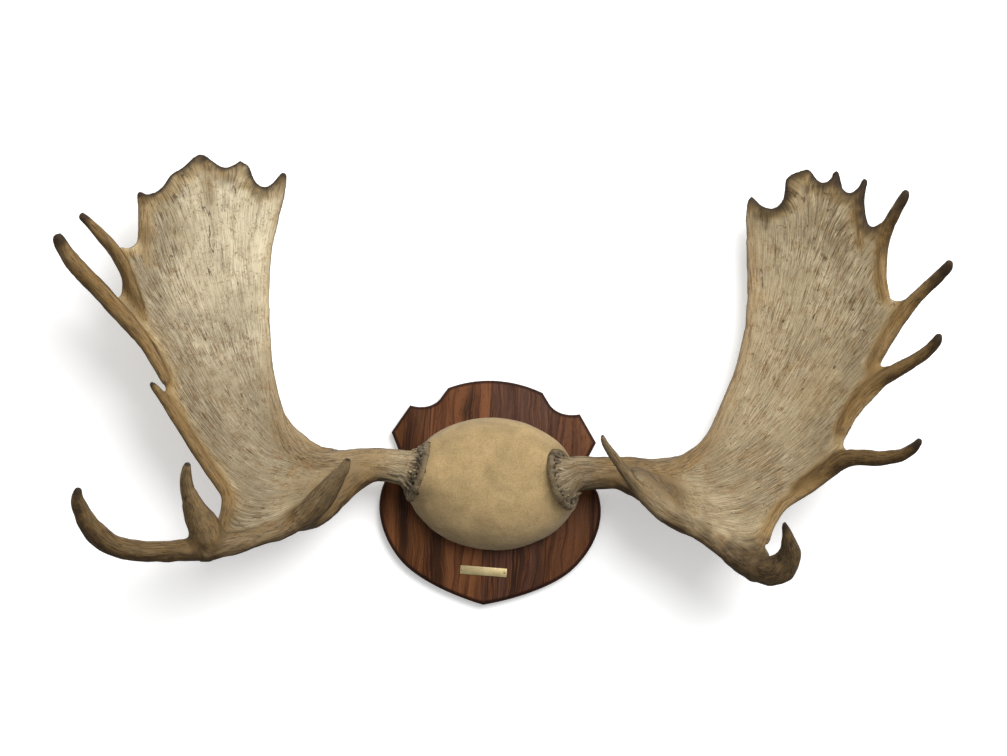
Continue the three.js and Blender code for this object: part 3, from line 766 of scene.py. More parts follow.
# %% One skin and its readings
SKIN_VOXEL = 2.45  # mm
PALM_WIDTH = 470.0  # mm that the whole flow would span at the crown, so its lines have a real width
FACE_GAP = 60.0  # mm between the patterns of the palm's front and back
NEAR_BURR = (40, 75)  # mm from the burr over which flutes give way to ribs
FLUTE_ROUND = 26.0  # mm
SKIN_OF_LIMB = (1.5, 10)  # mm from a limb's skin over which a vertex stops belonging to it
OFF_THE_SHEET = (10, 20)  # mm from the palm's middle over which a vertex can only be a limb's
PAST_THE_EDGE = (1, 7)  # mm outside the palm's edge, likewise


def antler_skin(antler):
    """The melted skin of one antler, and readings in mm at its vertices."""
    limbs = {"beam": antler["beam"], **antler["tines"], **antler["brow"]}
    path, owners = outline_of(antler)
    piece = join([palm_sheet(antler, path)] + [limb(stations) for stations in limbs.values()])
    modify(piece, "REMESH", mode="VOXEL", voxel_size=SKIN_VOXEL * MM)
    relax(piece)
    points = positions(piece) / MM
    flat = points[:, [0, 2]]
    owner, gap, place = read_limbs(points, list(limbs.values()))
    near_burr = 1 - fade(np.linalg.norm(points - antler["burr"][0], axis=1), *NEAR_BURR)
    out = np.maximum(np.linalg.norm(place[:, :2], axis=1), 1)[:, None]
    place[:, :2] += (FLUTE_ROUND * place[:, :2] / out - place[:, :2]) * near_burr[:, None]
    ahead = thin_plate(antler["depths"])(*flat.T) - points[:, 1]
    on_limb = np.maximum(1 - fade(gap, *SKIN_OF_LIMB), fade(np.abs(ahead), *OFF_THE_SHEET))
    past_edge = fade(to_path(flat, path)[0], *PAST_THE_EDGE) * ~inside(flat, path)
    on_limb = np.maximum(on_limb, past_edge)
    mean = mean_of_neighbours(piece)
    for _ in range(8):
        on_limb = mean(on_limb)
    flow = growth_flow(path, owners)(*flat.T) * PALM_WIDTH
    away = np.hypot(*(flat - antler["beam_end"]).T)
    edges = [to_path(flat, path[owners == k], closed=False)[0] for k in range(len(STRETCHES))]
    return piece, SimpleNamespace(
        names=list(limbs), points=points, owner=owner, place=place, near_burr=near_burr,
        on_limb=on_limb, away=away, edge_gap=dict(zip(STRETCHES, edges)), mean=mean,
        palm_lines=np.column_stack([flow, away, fade(ahead, -2, 2) * FACE_GAP]),
        radius=radius_beside(place, owner, limbs.values()), ragged=0.6 + 0.8 * noise(points / 9),
    )


print("an antler's skin is made of squares of", SKIN_VOXEL, "mm")

# %% [markdown]
# Colour follows growth too. On these antlers sap and bark stained the tips and the crown nearly
# black and the tines golden, the left palm is bleached to cream, and the brow tines kept a dark
# stain. The list gives for each limb how golden it is, how dark it is, and how far its black tip
# fades, in millimetres. Limbs blend into each other by averaging neighbours.

# %% Stains of each limb
STAINS = {
    "LEFT": {
        "beam": (0.35, 0.15, 1), "long": (0.9, 0.3, 18),
        "second": (0.9, 0.35, 20), "spur": (0.9, 0.4, 8), "corner": (0.6, 0.0, 7),
        "peak": (0.3, 0.1, 8), "inner_tine": (0.45, 0.48, 1), "stem": (0.7, 0.62, 1),
        "middle_tine": (0.6, 0.44, 1), "outer_tine": (0.7, 0.72, 10),
    },
    "RIGHT": {
        "beam": (0.6, 0.38, 1), "first": (0.95, 0.3, 46),
        "second": (0.95, 0.3, 56), "third": (0.95, 0.5, 30), "lowest": (1.0, 0.82, 24),
        "edge": (0.8, 0.25, 1), "middle_point": (0.6, 0.4, 16), "outer_point": (0.8, 0.3, 18),
        "inner_tine": (0.4, 0.42, 1), "stem": (0.5, 0.68, 1), "curl": (0.3, 1.0, 16),
    },
}
STAIN_ROUNDS = 50  # averaging rounds that let one limb's stain fade into the next
PALE_RIDGE = (60, 160)  # mm up, where the beam's run along the inner edge turns pale


def limb_stains(side, skin):
    """How golden and how dark the nearest limb is, how pale, and how far its tip is black."""
    rows = np.array([STAINS[side][name] for name in skin.names], float)[skin.owner]
    ridge = (skin.owner == 0) * fade(skin.points[:, 2], *PALE_RIDGE)
    blended = np.column_stack([rows[:, :2], ridge])
    for _ in range(STAIN_ROUNDS):
        blended = skin.mean(blended)
    amber, dark, ridge = blended.T
    return amber * (1 - 0.4 * ridge), dark * (1 - ridge), ridge, rows[:, 2]


print("stained limbs:", [len(rows) for rows in STAINS.values()])

# %% [markdown]
# The relief is moved into the mesh along its normals: long ribs and shallow channels where blood
# vessels ran, flutes along the foot of the beam, and lumps. It is lower on a thin tine and rougher
# on a dark one. What is finer is left to the material.

# %% Relief
RELIEF = {  # width and length in mm
    "rib": (21, 150), "groove": (7, 45), "flute": (5.5, 60), "channel": (40, 200),
}
LUMP = 15  # mm across
FULL_RELIEF = 9  # mm of limb radius that carries the full relief


def carve(piece, skin, dark):
    """Moves the relief into the skin."""
    drawn = {}
    for name, (width, length) in RELIEF.items():
        sheet = noise(skin.palm_lines / [width, length, FACE_GAP] + 7)
        size = [0.8 * width, 0.8 * width, 0.6 * length]
        tube = noise(skin.place / size + 3 * skin.owner[:, None])
        drawn[name] = sheet + (tube - sheet) * skin.on_limb - 0.5
    groove = drawn["groove"] + 1.9 * skin.near_burr * drawn["flute"]
    channel = 1 - fade(np.abs(drawn["channel"]), 0.0, 0.035)
    rough = 1 + 1.2 * dark * skin.on_limb
    relief = 0.9 * drawn["rib"] + (0.7 + 0.5 * skin.on_limb) * groove - 0.5 * channel
    relief = relief + 0.9 * rough * (noise(skin.points / LUMP) - 0.5)
    slim = np.clip(skin.radius / FULL_RELIEF, 0.35, 1.3)
    relief = relief * np.where(skin.on_limb > 0.5, slim, 1.0)
    set_positions(piece, positions(piece) + normals(piece) * relief[:, None] * MM)


def hollows(piece, mean, rounds):
    """How deep each vertex lies below its surroundings, in mm, and below zero on a crest."""
    points = positions(piece) / MM
    around = points
    for _ in range(rounds):
        around = mean(around)
    depth = ((around - points) * normals(piece)).sum(1)
    for _ in range(2):
        depth = mean(depth)
    return depth


print("relief:", RELIEF)

# %% [markdown]
# The palms' edges have stains of their own: gold along every edge and brown over the crown's
# valleys. A thin dark line down both sides and a brown band beside the outer edge are painted
# shade, and so is a dark band along the lower rim. Noise makes each distance ragged. A few dark
# patches are listed one by one, and those below the palm darken its lower rim as painted shade.

# %% Stains along the edges
EDGE_GOLD = [  # stretch, how golden, and the distances in mm over which that fades
    ("outer", 0.7, 4, 28), ("inner", 0.5, 3, 14), ("crown", 0.8, 8, 36), ("rim", 0.45, 3, 16),
]
PALM = {  # all over: gold and dark; over the crown: mm of black and of brown; painted shade of the rim
    "LEFT": {"gold": 0.0, "dark": 0.0, "black": 9, "brown": 24, "rim": 0.5},
    "RIGHT": {"gold": 0.2, "dark": 0.13, "black": 15, "brown": 34, "rim": 0.6},
}
SCUFFS_AND_RIM_SHADE = {  # dark patches on a palm: x, z, radius in mm and how dark; below the palm, painted rim shade
    "LEFT": [(-350, 410, 15, 0.7), (-398, 422, 17, 0.6), (-431, 447, 9, 0.5), (-500, 330, 16, 0.4),
             (-372, -62, 34, 0.6)],
    "RIGHT": [(374, 414, 17, 0.75), (404, 460, 16, 0.7), (452, 448, 16, 0.6),
              (498, 430, 18, 0.6), (520, 388, 16, 0.6), (262, -46, 34, 0.75),
              (300, -66, 36, 0.85), (338, -84, 42, 0.95), (366, -88, 52, 1.0)],
}
LONG_TIP = 18  # mm of black that only a real tine has
TINES_PAST = 530  # mm; the tines past this x have black tips and golden feet, beside the crown


def edge_stains(side, skin, tip):
    """How black, how golden and how brown (stain and painted shade) each vertex is on the palm."""
    palm = PALM[side]
    gap = {**skin.edge_gap, "crown": skin.edge_gap["crown"] / skin.ragged}
    black = skin.on_limb * (1 - fade(skin.place[:, 2] / skin.ragged, 0.25 * tip, 1.2 * tip))
    on_tine = skin.on_limb * (tip > LONG_TIP) * (skin.points[:, 0] > TINES_PAST)
    crown = 0.95 - 0.95 * fade(gap["crown"], 2, palm["black"])
    black = np.maximum(black, crown * (1 - on_tine))
    golden = palm["gold"]
    for stretch, share, start, end in EDGE_GOLD:
        golden = np.maximum(golden, share - share * fade(gap[stretch], start, end))
    # Painted shade along the lower rim, where the palm turns down.
    brown = palm["rim"] * (1 - fade(gap["rim"], 4, 22)) * fade(skin.away, 40, 110)
    brown = np.maximum(brown, 0.8 - 0.8 * fade(gap["crown"], 2, palm["brown"]))
    # Painted shade: a thin dark line down both sides, where the edge turns away.
    line = 0.75 - 0.75 * fade(np.minimum(gap["inner"], gap["outer"]) / skin.ragged, 0.8, 3.2)
    line = line * (1 - fade(np.abs(skin.facing[:, 1]), 0.8, 0.97))
    # Painted shade in the groove beside the ridge along the outer edge.
    band = fade(gap["outer"] / skin.ragged, 10, 26) * (1 - fade(gap["outer"] / skin.ragged, 34, 80))
    brown = np.maximum(brown, np.maximum(line, 0.34 * band) * (1 - skin.on_limb))
    # Dark patches, and painted shade along the lower rim.
    for x, z, radius, share in SCUFFS_AND_RIM_SHADE[side]:
        off = np.hypot(skin.points[:, 0] - x, skin.points[:, 2] - z) / skin.ragged
        brown = np.maximum(brown, share - share * fade(off, 0.2 * radius, 1.4 * radius))
    return black, golden, np.maximum(brown, palm["dark"])


def cream_of(side, skin, ridge):
    """How bleached each vertex is."""
    x, _, z = skin.points.T
    if side == "LEFT":
        cream = 0.07 + 0.78 * fade(z, 60, 320) + 0.35 * fade(z, 300, 400)
        cream = cream * (1 - 0.6 * fade(-x, 400, 490)) + 0.25 * ridge * skin.on_limb
    else:
        cream = 0.22 + 0.2 * (1 - fade(z, -70, 60)) + 0.2 * fade(z, 200, 420)
    return cream * (1 - 0.7 * skin.on_limb * (1 - ridge)) + 0.3 * skin.near_burr


print("scuffs:", {side: len(rows) for side, rows in SCUFFS_AND_RIM_SHADE.items()})

# %% [markdown]
# At last each skin is carved, and the stains, the wear and the painted shade and highlights are
# written into attributes, where the bone material finds them. Faces that turn sideways or down are
# darkened as painted shade, and so is the seam between two brow tines. Where two limbs meet, their
# lines would clash, so the seam hides them.

# %% Growing an antler
def grow_antler(side, antler):
    piece, skin = antler_skin(antler)
    amber, dark, ridge, tip = limb_stains(side, skin)
    carve(piece, skin, dark)
    skin.facing = normals(piece)
    black, golden, brown = edge_stains(side, skin, tip)
    amber = golden + (np.maximum(amber, golden) - golden) * skin.on_limb
    amber = amber * (1 - 0.55 * skin.near_burr)
    dark = brown + (np.maximum(dark, brown) - brown) * skin.on_limb
    # Painted shade: faces that turn sideways are darkened, as a dark outline.
    dark = np.maximum(dark, 0.9 - 0.9 * fade(np.abs(skin.facing[:, 1]), 0.15, 0.7))
    # Painted shade under the limbs, on faces that turn down.
    underside_shade = fade(-skin.facing[:, 2], 0.1, 0.9) * skin.on_limb
    dark = np.clip(dark * (1 + 0.35 * underside_shade) + 0.15 * underside_shade, 0, 1)
    seam = np.abs(skin.mean(skin.owner.astype(float)) - skin.owner) > 1e-6
    for _ in range(7):
        seam = skin.mean(np.clip(seam * 1.25, 0, 1))
    seam = np.clip(seam * 1.6, 0, 1) * skin.on_limb
    # Painted shade in the seam where two brow tines meet.
    dark = np.clip(dark + 0.35 * seam * fade(-skin.points[:, 2], 10, 40), 0, 1)
    cream = cream_of(side, skin, ridge)
    # Dark hollows are dirt and painted shade; pale crests are wear and a painted highlight.
    sunk = hollows(piece, skin.mean, 8)
    crest = fade(-sunk, 0.2, 1.4) * (1 - 0.85 * skin.on_limb) * (1 - dark)
    attributes = {
        "palm_lines": skin.palm_lines, "limb_lines": skin.place + 40 * skin.owner[:, None],
        "on_limb": skin.on_limb, "seam": seam,
        "tone": np.column_stack([dark, np.clip(amber, 0, 1), np.clip(cream, 0, 1)]),
        "dirt_shade_highlight_and_tips": np.column_stack([fade(sunk, 0.25, 1.6), crest, black]),
    }
    for name, values in attributes.items():
        paint(piece, name, values)
    print(side.lower(), "antler skin has", len(skin.points), "vertices")
    return piece


# %% [markdown]
# ## The burrs
#
# A burr is the collar at an antler's foot: a rough brown rim against the skin, rows of bony
# pearls, and short ridges that run out along the beam. A spun profile carries stretched balls, and
# a fine remesh melts them together.

# %% Burrs
BURR_RADIUS = 44.5
BURR_PROFILE = [  # radius and height of the solid that carries the pearls
    (0.01, -0.5), (41.5, -0.2), (43.8, 1.0), (44.4, 3.5), (44.0, 6.4), (42.4, 8.5),
    (39.8, 9.0), (36.8, 8.0), (33.0, 9.0), (29.5, 14.0), (26.5, 21.0), (0.01, 23.0),
]
BURR_VOXEL = 0.9
RIM_STARTS = (39.5, 41)  # mm from the middle over which the pearls end and the rim begins
PEARL_ROWS = [
    # along the beam in mm, radius of the row, pearls, size across, length, lean inwards
    (8.8, 38.8, 34, 1.9, 2.3, -1.1), (9.4, 35.6, 27, 2.4, 3.0, -1.0),
    (12.0, 32.4, 22, 2.3, 5.0, -0.7), (17.5, 28.4, 21, 1.7, 6.0, -0.5),
]


def turned_to(axis, centre):
    """The place and turn that carry a shape made along +Z to a line through a centre."""
    turn = Vector(axis).normalized().to_track_quat("Z", "Y").to_matrix().to_4x4()
    return Matrix.Translation(Vector(centre) * MM) @ turn


def spun(profile, steps=64):
    """A solid turned about Z from a profile of (radius, height) in mm."""
    bpy.ops.object.select_all(action="DESELECT")
    bpy.ops.mesh.primitive_circle_add(vertices=len(profile), radius=1)
    piece = bpy.context.view_layer.objects.active
    set_positions(piece, np.array([(radius, 0, height) for radius, height in profile]) * MM)
    bpy.ops.object.mode_set(mode="EDIT")
    bpy.ops.mesh.select_all(action="SELECT")
    bpy.ops.mesh.spin(steps=steps, angle=2 * math.pi, center=(0, 0, 0), axis=(0, 0, 1))
    bpy.ops.mesh.select_all(action="SELECT")
    bpy.ops.mesh.remove_doubles(threshold=0.01 * MM)
    bpy.ops.mesh.normals_make_consistent(inside=False)
    bpy.ops.object.mode_set(mode="OBJECT")
    return piece


def pearled_collar(luck):
    """A burr that stands on the origin, with its beam along +Z."""
    parts = [spun(BURR_PROFILE)]
    for height, out, count, across, length, lean in PEARL_ROWS:
        shift = luck.random()
        for k in range(count):
            angle = 2 * math.pi * (k + shift + 0.25 * luck.normal()) / count
            size = across * luck.uniform(0.6, 1.3)
            middle = out + 0.7 * luck.normal()
            bpy.ops.object.select_all(action="DESELECT")
            bpy.ops.mesh.primitive_ico_sphere_add(
                subdivisions=2, radius=MM,
                location=(
                    middle * MM * math.cos(angle), middle * MM * math.sin(angle),
                    (height + 0.5 * luck.normal()) * MM,
                ),
                rotation=((0.4 if length < 6 else 0.1) * luck.normal(), lean, angle),
                scale=(size, size * luck.uniform(0.8, 1.2), length * luck.uniform(0.7, 1.3)),
            )
            parts.append(bpy.context.view_layer.objects.active)
    piece = join(parts)
    apply_place(piece)
    modify(piece, "REMESH", mode="VOXEL", voxel_size=BURR_VOXEL * MM)
    modify(piece, "SMOOTH", factor=0.5, iterations=1)
    modify(piece, "DECIMATE", ratio=0.6)
    points = positions(piece) / MM
    lumps = 0.7 * (noise(points / 2.6) - 0.5)
    on_rim = fade(np.hypot(points[:, 0], points[:, 1]), *RIM_STARTS)
    lumps = lumps + 1.1 * on_rim * (noise(points / 3.8 + 9) - 0.5)
    set_positions(piece, positions(piece) + normals(piece) * lumps[:, None] * MM)
    return piece


print("a burr carries", sum(row[2] for row in PEARL_ROWS), "pearls")

# %% [markdown]
# The burr reads the same bone material as the antler, so it gets the same attributes: dirt and
# painted shade in the hollows between the pearls, worn tops with a painted highlight, and a brown
# rim.

# %% A burr in its place
def grow_burr(side, antler):
    centre, axis = antler["burr"]
    piece = pearled_collar(np.random.default_rng(11 if side == "LEFT" else 23))
    sunk = hollows(piece, mean_of_neighbours(piece), 7)
    points = positions(piece) / MM
    out = np.hypot(points[:, 0], points[:, 1])
    pearly = 1 - fade(out, *RIM_STARTS)
    angle = np.arctan2(points[:, 1], points[:, 0])
    along = points[:, 2] - out
    place = np.column_stack([30 * np.cos(angle) + 300, 30 * np.sin(angle), along])
    band = pearly * (1 - fade(points[:, 2], 13, 24))
    # Dirt and painted shade in the crevices between the pearls and over their band, nearly black
    # there.
    deep = np.maximum(fade(sunk, -0.1, 0.45), 0.4 * band) * (pearly * 0.35 + band * 0.65)
    # Wear and a painted highlight on the tops of the pearls.
    high = fade(-sunk, 0.1, 0.7) * pearly
    brown = 0.56 + 0.4 * noise(np.column_stack([angle * 5, points[:, 2] / 9, angle * 0]))
    attributes = {
        "palm_lines": place, "limb_lines": place, "on_limb": np.ones(len(points)),
        "tone": np.column_stack([
            brown * (1 - 0.4 * pearly), 0.5 * fade(points[:, 2], 10, 17), 0.1 + 0.3 * pearly,
        ]),
        "dirt_shade_highlight_and_tips": np.column_stack([deep, 3.0 * high * band, deep * 0.9 * band]),
        "seam": 0.4 * (1 - pearly),
    }
    for name, values in attributes.items():
        paint(piece, name, values)
    piece.matrix_world = turned_to(axis, centre)
    apply_place(piece)
    return piece


burr_gap = math.dist(LEFT["burr"][0], RIGHT["burr"][0])
print("the burrs stand", round(burr_gap), "mm apart")

# %% [markdown]
# ## Materials
#
# Colours are picked as hex values, as in any paint program, and Blender wants them in linear
# light. One helper turns them, and one adds a node with its settings and links.

# %% Material helpers
def hex_colour(text):
    """An sRGB hex colour as the linear values that Blender works in."""
    parts = [int(text[i:i + 2], 16) / 255 for i in (1, 3, 5)]
    parts = [p / 12.92 if p <= 0.04045 else ((p + 0.055) / 1.055) ** 2.4 for p in parts]
    return (*parts, 1.0)


def new_material(name):
    material = bpy.data.materials.new(name)
    material.use_nodes = True
    material.node_tree.nodes.clear()
    return material, material.node_tree


def add(tree, kind, inputs=None, out=0, **settings):
    """Adds a node, sets or links its inputs, and gives back one of its outputs."""
    made = tree.nodes.new("ShaderNode" + kind)
    for setting, value in settings.items():
        setattr(made, setting, value)
    for socket, value in (inputs or {}).items():
        if isinstance(value, bpy.types.NodeSocket):
            tree.links.new(value, made.inputs[socket])
        elif isinstance(value, str):
            made.inputs[socket].default_value = hex_colour(value)
        else:
            made.inputs[socket].default_value = value
    return made.outputs[out]


print("mid grey #808080 is", round(hex_colour("#808080")[0], 3), "in linear light")

# %% [markdown]
# Bone and wood are painted the way a stainer works: colour over colour, each only where a pattern
# lets it through. Such a layer is a row that starts with a colour. After it come its masks, which
# are multiplied: a pattern's name, a plain share, or a pattern with the two values between which
# it is stretched and what it gives at each of them.

# %% Layers of stain
def stained(tree, patterns, ground, layers):
    """Lays each layer's colour over the ground by its masks, and gives the last colour."""
    for colour, *masks in layers:
        share = 1.0
        for mask in masks:
            if isinstance(mask, str):
                mask = patterns[mask]
            elif isinstance(mask, tuple):
                ends = {0: patterns[mask[0]], 1: mask[1], 2: mask[2], 3: mask[3], 4: mask[4]}
                mask = add(tree, "MapRange", ends, interpolation_type="SMOOTHSTEP")
            share = add(tree, "Math", {0: share, 1: mask}, operation="MULTIPLY")
        mixed = {0: share, 6: ground, 7: patterns.get(colour, colour)}
        ground = add(tree, "Mix", mixed, out=2, data_type="RGBA")
    return ground


# %% [markdown]
# Antler is bare bone, dry and dull. Its lines are one to two millimetres wide, drawn out along the
# growth, over a cream to tan ground with brown mottling and fine drying cracks. Gold, dark brown
# and black stains lie over that where the vertices say. Dirt and painted shade sit in the hollows,
# and worn crests carry a painted highlight.

# %% What bone is stained with
BONE_LINES = {  # width and length in mm, detail
    "fine": (1.7, 21.0, 4.0), "hair": (1.1, 60.0, 1.0), "broad": (7.0, 50.0, 4.0),
    "crack": (19.0, 90.0, 1.5),
}
BONE_CLOUDS = {  # waves in a metre, detail, roughness and distortion; specks are 3 mm across
    "cloud": (17.0, 2.0, 0.5, 0.0), "region": (8.0, 4.0, 0.5, 0.0),
    "mottle": (60.0, 6.0, 0.75, 0.4), "speck": (330.0, 2.0, 0.5, 0.0),
}
PIT_WAVES = 180.0  # in a metre
LINED = (("cloud", 0.35, 0.62, 0.35, 0.85), ("cream", 0.5, 1.0, 1.0, 0.6))
GOLD_STAINS = [("#997438", "on_limb"), ("#5f431f", ("fine", 0.42, 0.64, 0.0, 0.85))]
BROWN_STAINS = [
    ("#4c3717", ("fine", 0.66, 0.34, 0.0, 1.0)), ("#7d6238", ("mottle", 0.5, 0.7, 0.0, 0.35)),
]
BONE_STAINS = [
    ("#ecdebc", "cream", ("cloud", 0.3, 0.6, 0.6, 1.0)),
    ("#857860", ("region", 0.5, 0.66, 0.0, 0.8), ("cream", 0.4, 0.9, 1.0, 0.45)),
    ("#b59767", ("region", 0.47, 0.3, 0.0, 0.45)),
    ("#8f7451", ("mottle", 0.46, 0.64, 0.0, 1.0), ("cloud", 0.33, 0.62, 0.3, 0.9),
     ("cream", 0.1, 0.9, 1.0, 0.4)),
    ("#755f42", ("speck", 0.52, 0.66, 0.0, 0.55), ("mottle", 0.4, 0.6, 0.0, 1.0)),
    ("#8a7552", ("broad", 0.5, 0.68, 0.0, 0.4)),
    ("#4f3e2b", ("fine", 0.5, 0.65, 0.0, 1.0), *LINED),
    ("#efe3c6", ("fine", 0.47, 0.33, 0.0, 1.0), ("on_limb", 0.0, 1.0, 0.7, 0.3), *LINED),
    ("#57452f", ("hair", 0.57, 0.65, 0.0, 0.45)),
    ("gold", "amber", ("broad", 0.3, 0.62, 1.0, 0.75)),
    ("brown", "dark", ("mottle", 0.3, 0.62, 1.0, 0.85)),
    ("#3a2c1b", "split", ("on_limb", 0.6, 0.2, 0.0, 1.0), ("mottle", 0.42, 0.55, 0.0, 0.7)),
    ("#4c3b26", ("pit", 0.2, 0.1, 0.0, 1.0), ("speck", 0.5, 0.6, 0.0, 0.7)),
    # dirt and painted shade in the hollows
    ("#2b1f17", "sunk", 0.9),
    # a painted highlight, with some wear, on the crests
    ("#ddd0b0", "crest", ("tip", 0.0, 0.5, 1.0, 0.0), ("speck", 0.35, 0.6, 0.1, 0.5)),
    ("#22170f", "tip", ("fine", 0.7, 0.3, 0.7, 1.0)),
]
print("bone is stained in", len(BONE_STAINS), "layers")


# %% Antler bone
def bone_patterns(tree):
    """The attributes that the antlers carry, the lines along the growth, and the clouds."""
    palm = add(tree, "Attribute", out="Vector", attribute_name="palm_lines")
    tube = add(tree, "Attribute", out="Vector", attribute_name="limb_lines")
    seam = add(tree, "Attribute", out="Fac", attribute_name="seam")
    found = {"on_limb": add(tree, "Attribute", out="Fac", attribute_name="on_limb")}
    carried = {"tone": ("dark", "amber", "cream"), "dirt_shade_highlight_and_tips": ("sunk", "crest", "tip")}
    for attribute, names in carried.items():
        source = add(tree, "Attribute", out="Vector", attribute_name=attribute)
        for number, name in enumerate(names):
            found[name] = add(tree, "SeparateXYZ", {0: source}, out=number)
    for name, (width, length, detail) in BONE_LINES.items():
        scales = ((1 / width, 1 / length, 0.02), (0.9 / width, 0.9 / width, 0.9 / length))
        pair = []
        for source, scale in zip((palm, tube), scales):
            place = add(tree, "VectorMath", {0: source, 1: scale}, operation="MULTIPLY")
            pair.append(add(tree, "TexNoise", {
                "Vector": place, "Scale": 1.0, "Detail": detail, "Roughness": 0.68,
                "Distortion": 0.4,
            }))
        both = add(tree, "Mix", {0: found["on_limb"], 2: pair[0], 3: pair[1]})
        found[name] = add(tree, "Mix", {0: seam, 2: both, 3: 0.49})
    spot = add(tree, "TexCoord", out="Object")
    for name, (waves, detail, roughness, distortion) in BONE_CLOUDS.items():
        found[name] = add(tree, "TexNoise", {
            "Vector": spot, "Scale": waves, "Detail": detail, "Roughness": roughness,
            "Distortion": distortion,
        })
    found["pit"] = add(tree, "TexVoronoi", {"Vector": spot, "Scale": PIT_WAVES})
    found["split"] = add(tree, "Math", {0: found["crack"], 1: 0.5, 2: 0.005}, operation="COMPARE")
    return found


def bone_material():
    material, tree = new_material("antler_bone")
    found = bone_patterns(tree)
    found["gold"] = stained(tree, found, "#bb9b60", GOLD_STAINS)
    found["brown"] = stained(tree, found, "#21160c", BROWN_STAINS)
    dull = add(tree, "MapRange", {0: found["fine"], 1: 0.3, 2: 0.7, 3: 0.55, 4: 0.75},
               interpolation_type="SMOOTHSTEP")
    height = add(tree, "Math", {0: found["broad"], 1: found["fine"]}, operation="ADD")
    for pattern, share in (("hair", -0.8), ("mottle", 0.5)):
        height = add(tree, "Math", {0: found[pattern], 1: share, 2: height},
                     operation="MULTIPLY_ADD")
    bump = add(tree, "Bump", {"Strength": 0.8, "Distance": 0.9 * MM, "Height": height})
    colour = stained(tree, found, "#9d8e71", BONE_STAINS)
    shader = add(tree, "BsdfPrincipled", {
        "Base Color": colour, "Roughness": dull, "Normal": bump, "IOR": 1.54,
        "Specular IOR Level": 0.22,
    })
    tree.links.new(shader, tree.nodes.new("ShaderNodeOutputMaterial").inputs[0])
    return material


bone = bone_material()
print("bone has", len(bone.node_tree.nodes), "nodes")

# %% Both antlers
for side, antler in (("LEFT", LEFT), ("RIGHT", RIGHT)):
    name = "antler_" + side.lower()
    skin = join([grow_antler(side, antler), grow_burr(side, antler)])
    select_only(skin)
    bpy.ops.object.shade_smooth()
    finish_piece(skin, name, "antler", bone, name + "_main", name + "_brow")

# %% [markdown]
# ## The suede cap
#
# Suede is stretched wet over the filled skull and glued, so it runs smoothly from the dome out to
# a shoulder under each burr. Dome and shoulders are melted together, and their valley is filled as
# tight leather would span it.

# %% Dome and shoulders
FRONT = -19.3  # mm, the shield's front with the gap in front of it
DOME = {"x": 5, "z": 12, "half_width": 124, "half_height": 95, "rise": 86, "fullness": 2.3}
DOME_BACK = 0.3  # how far the dome's back bulges beside its front, before it is cut off
PEDICLE = {"radius": 37, "inner_radius": 24, "length": 60, "lip": 6, "forward": 8}
CAP_VOXEL = 2.4


def burr_line(antler):
    """The burr's centre and the unit direction of its beam."""
    centre, axis = (np.array(row, float) for row in antler["burr"])
    return centre, axis / np.linalg.norm(axis)


def dome():
    bpy.ops.object.select_all(action="DESELECT")
    bpy.ops.mesh.primitive_uv_sphere_add(segments=96, ring_count=64, radius=1)
    piece = bpy.context.view_layer.objects.active
    ball = positions(piece)
    out = np.hypot(ball[:, 0], ball[:, 2])
    swell = np.power(np.maximum(out, 1e-6), 2 / DOME["fullness"] - 1)
    rise = np.power(np.maximum(np.abs(ball[:, 1]), 1e-6), 2 / DOME["fullness"])
    depth = DOME["rise"] * rise * np.sign(ball[:, 1]) * np.where(ball[:, 1] > 0, DOME_BACK, 1)
    set_positions(piece, np.column_stack([
        DOME["x"] + DOME["half_width"] * ball[:, 0] * swell,
        FRONT + depth,
        DOME["z"] + DOME["half_height"] * ball[:, 2] * swell,
    ]) * MM)
    return piece


def shoulder(antler):
    """The skull's stub under a burr, which the suede runs out to."""
    centre, axis = burr_line(antler)
    start = centre - axis * PEDICLE["length"] - [0, PEDICLE["forward"], 0]
    length = np.linalg.norm(centre - start)
    end = length + PEDICLE["lip"]
    piece = spun([
        (0.01, 0), (PEDICLE["inner_radius"], 0), (PEDICLE["radius"], length),
        (PEDICLE["radius"], end), (0.01, end),
    ])
    piece.matrix_world = turned_to(centre - start, start)
    apply_place(piece)
    return piece


cap = join([dome(), shoulder(LEFT), shoulder(RIGHT)])
modify(cap, "REMESH", mode="VOXEL", voxel_size=CAP_VOXEL * MM)
relax(cap)
print("the cap has", len(cap.data.vertices), "vertices")

# %% [markdown]
# Round each burr the wet suede was pressed down to the bone. Its surface is drawn to one height
# along the burr, more the nearer it lies, and it keeps soft ripples. The back is then cut flat
# against the shield, and a burr's room is cut out, so that the suede ends against the bone.

# %% Snug suede
SNUG = {"height": 2.0, "reach": 24.0}  # mm up a burr that the suede lies, and how far round it


def press_round(points, antler):
    """Draws the suede down, or up, to one height round a burr."""
    centre, axis = burr_line(antler)
    height = (points - centre) @ axis
    past = np.linalg.norm(points - centre - np.outer(height, axis), axis=1) - BURR_RADIUS
    drop = height - SNUG["height"]
    press = np.where(drop > 0, 1 - fade(past, 1, SNUG["reach"]), 0)
    lift = (1 - fade(past, 0, SNUG["reach"] * 0.7)) * (1 - fade(-drop, 6, 15))
    share = np.where(drop > 0, press, lift) * (height > -20)
    return points - (drop * share)[:, None] * axis


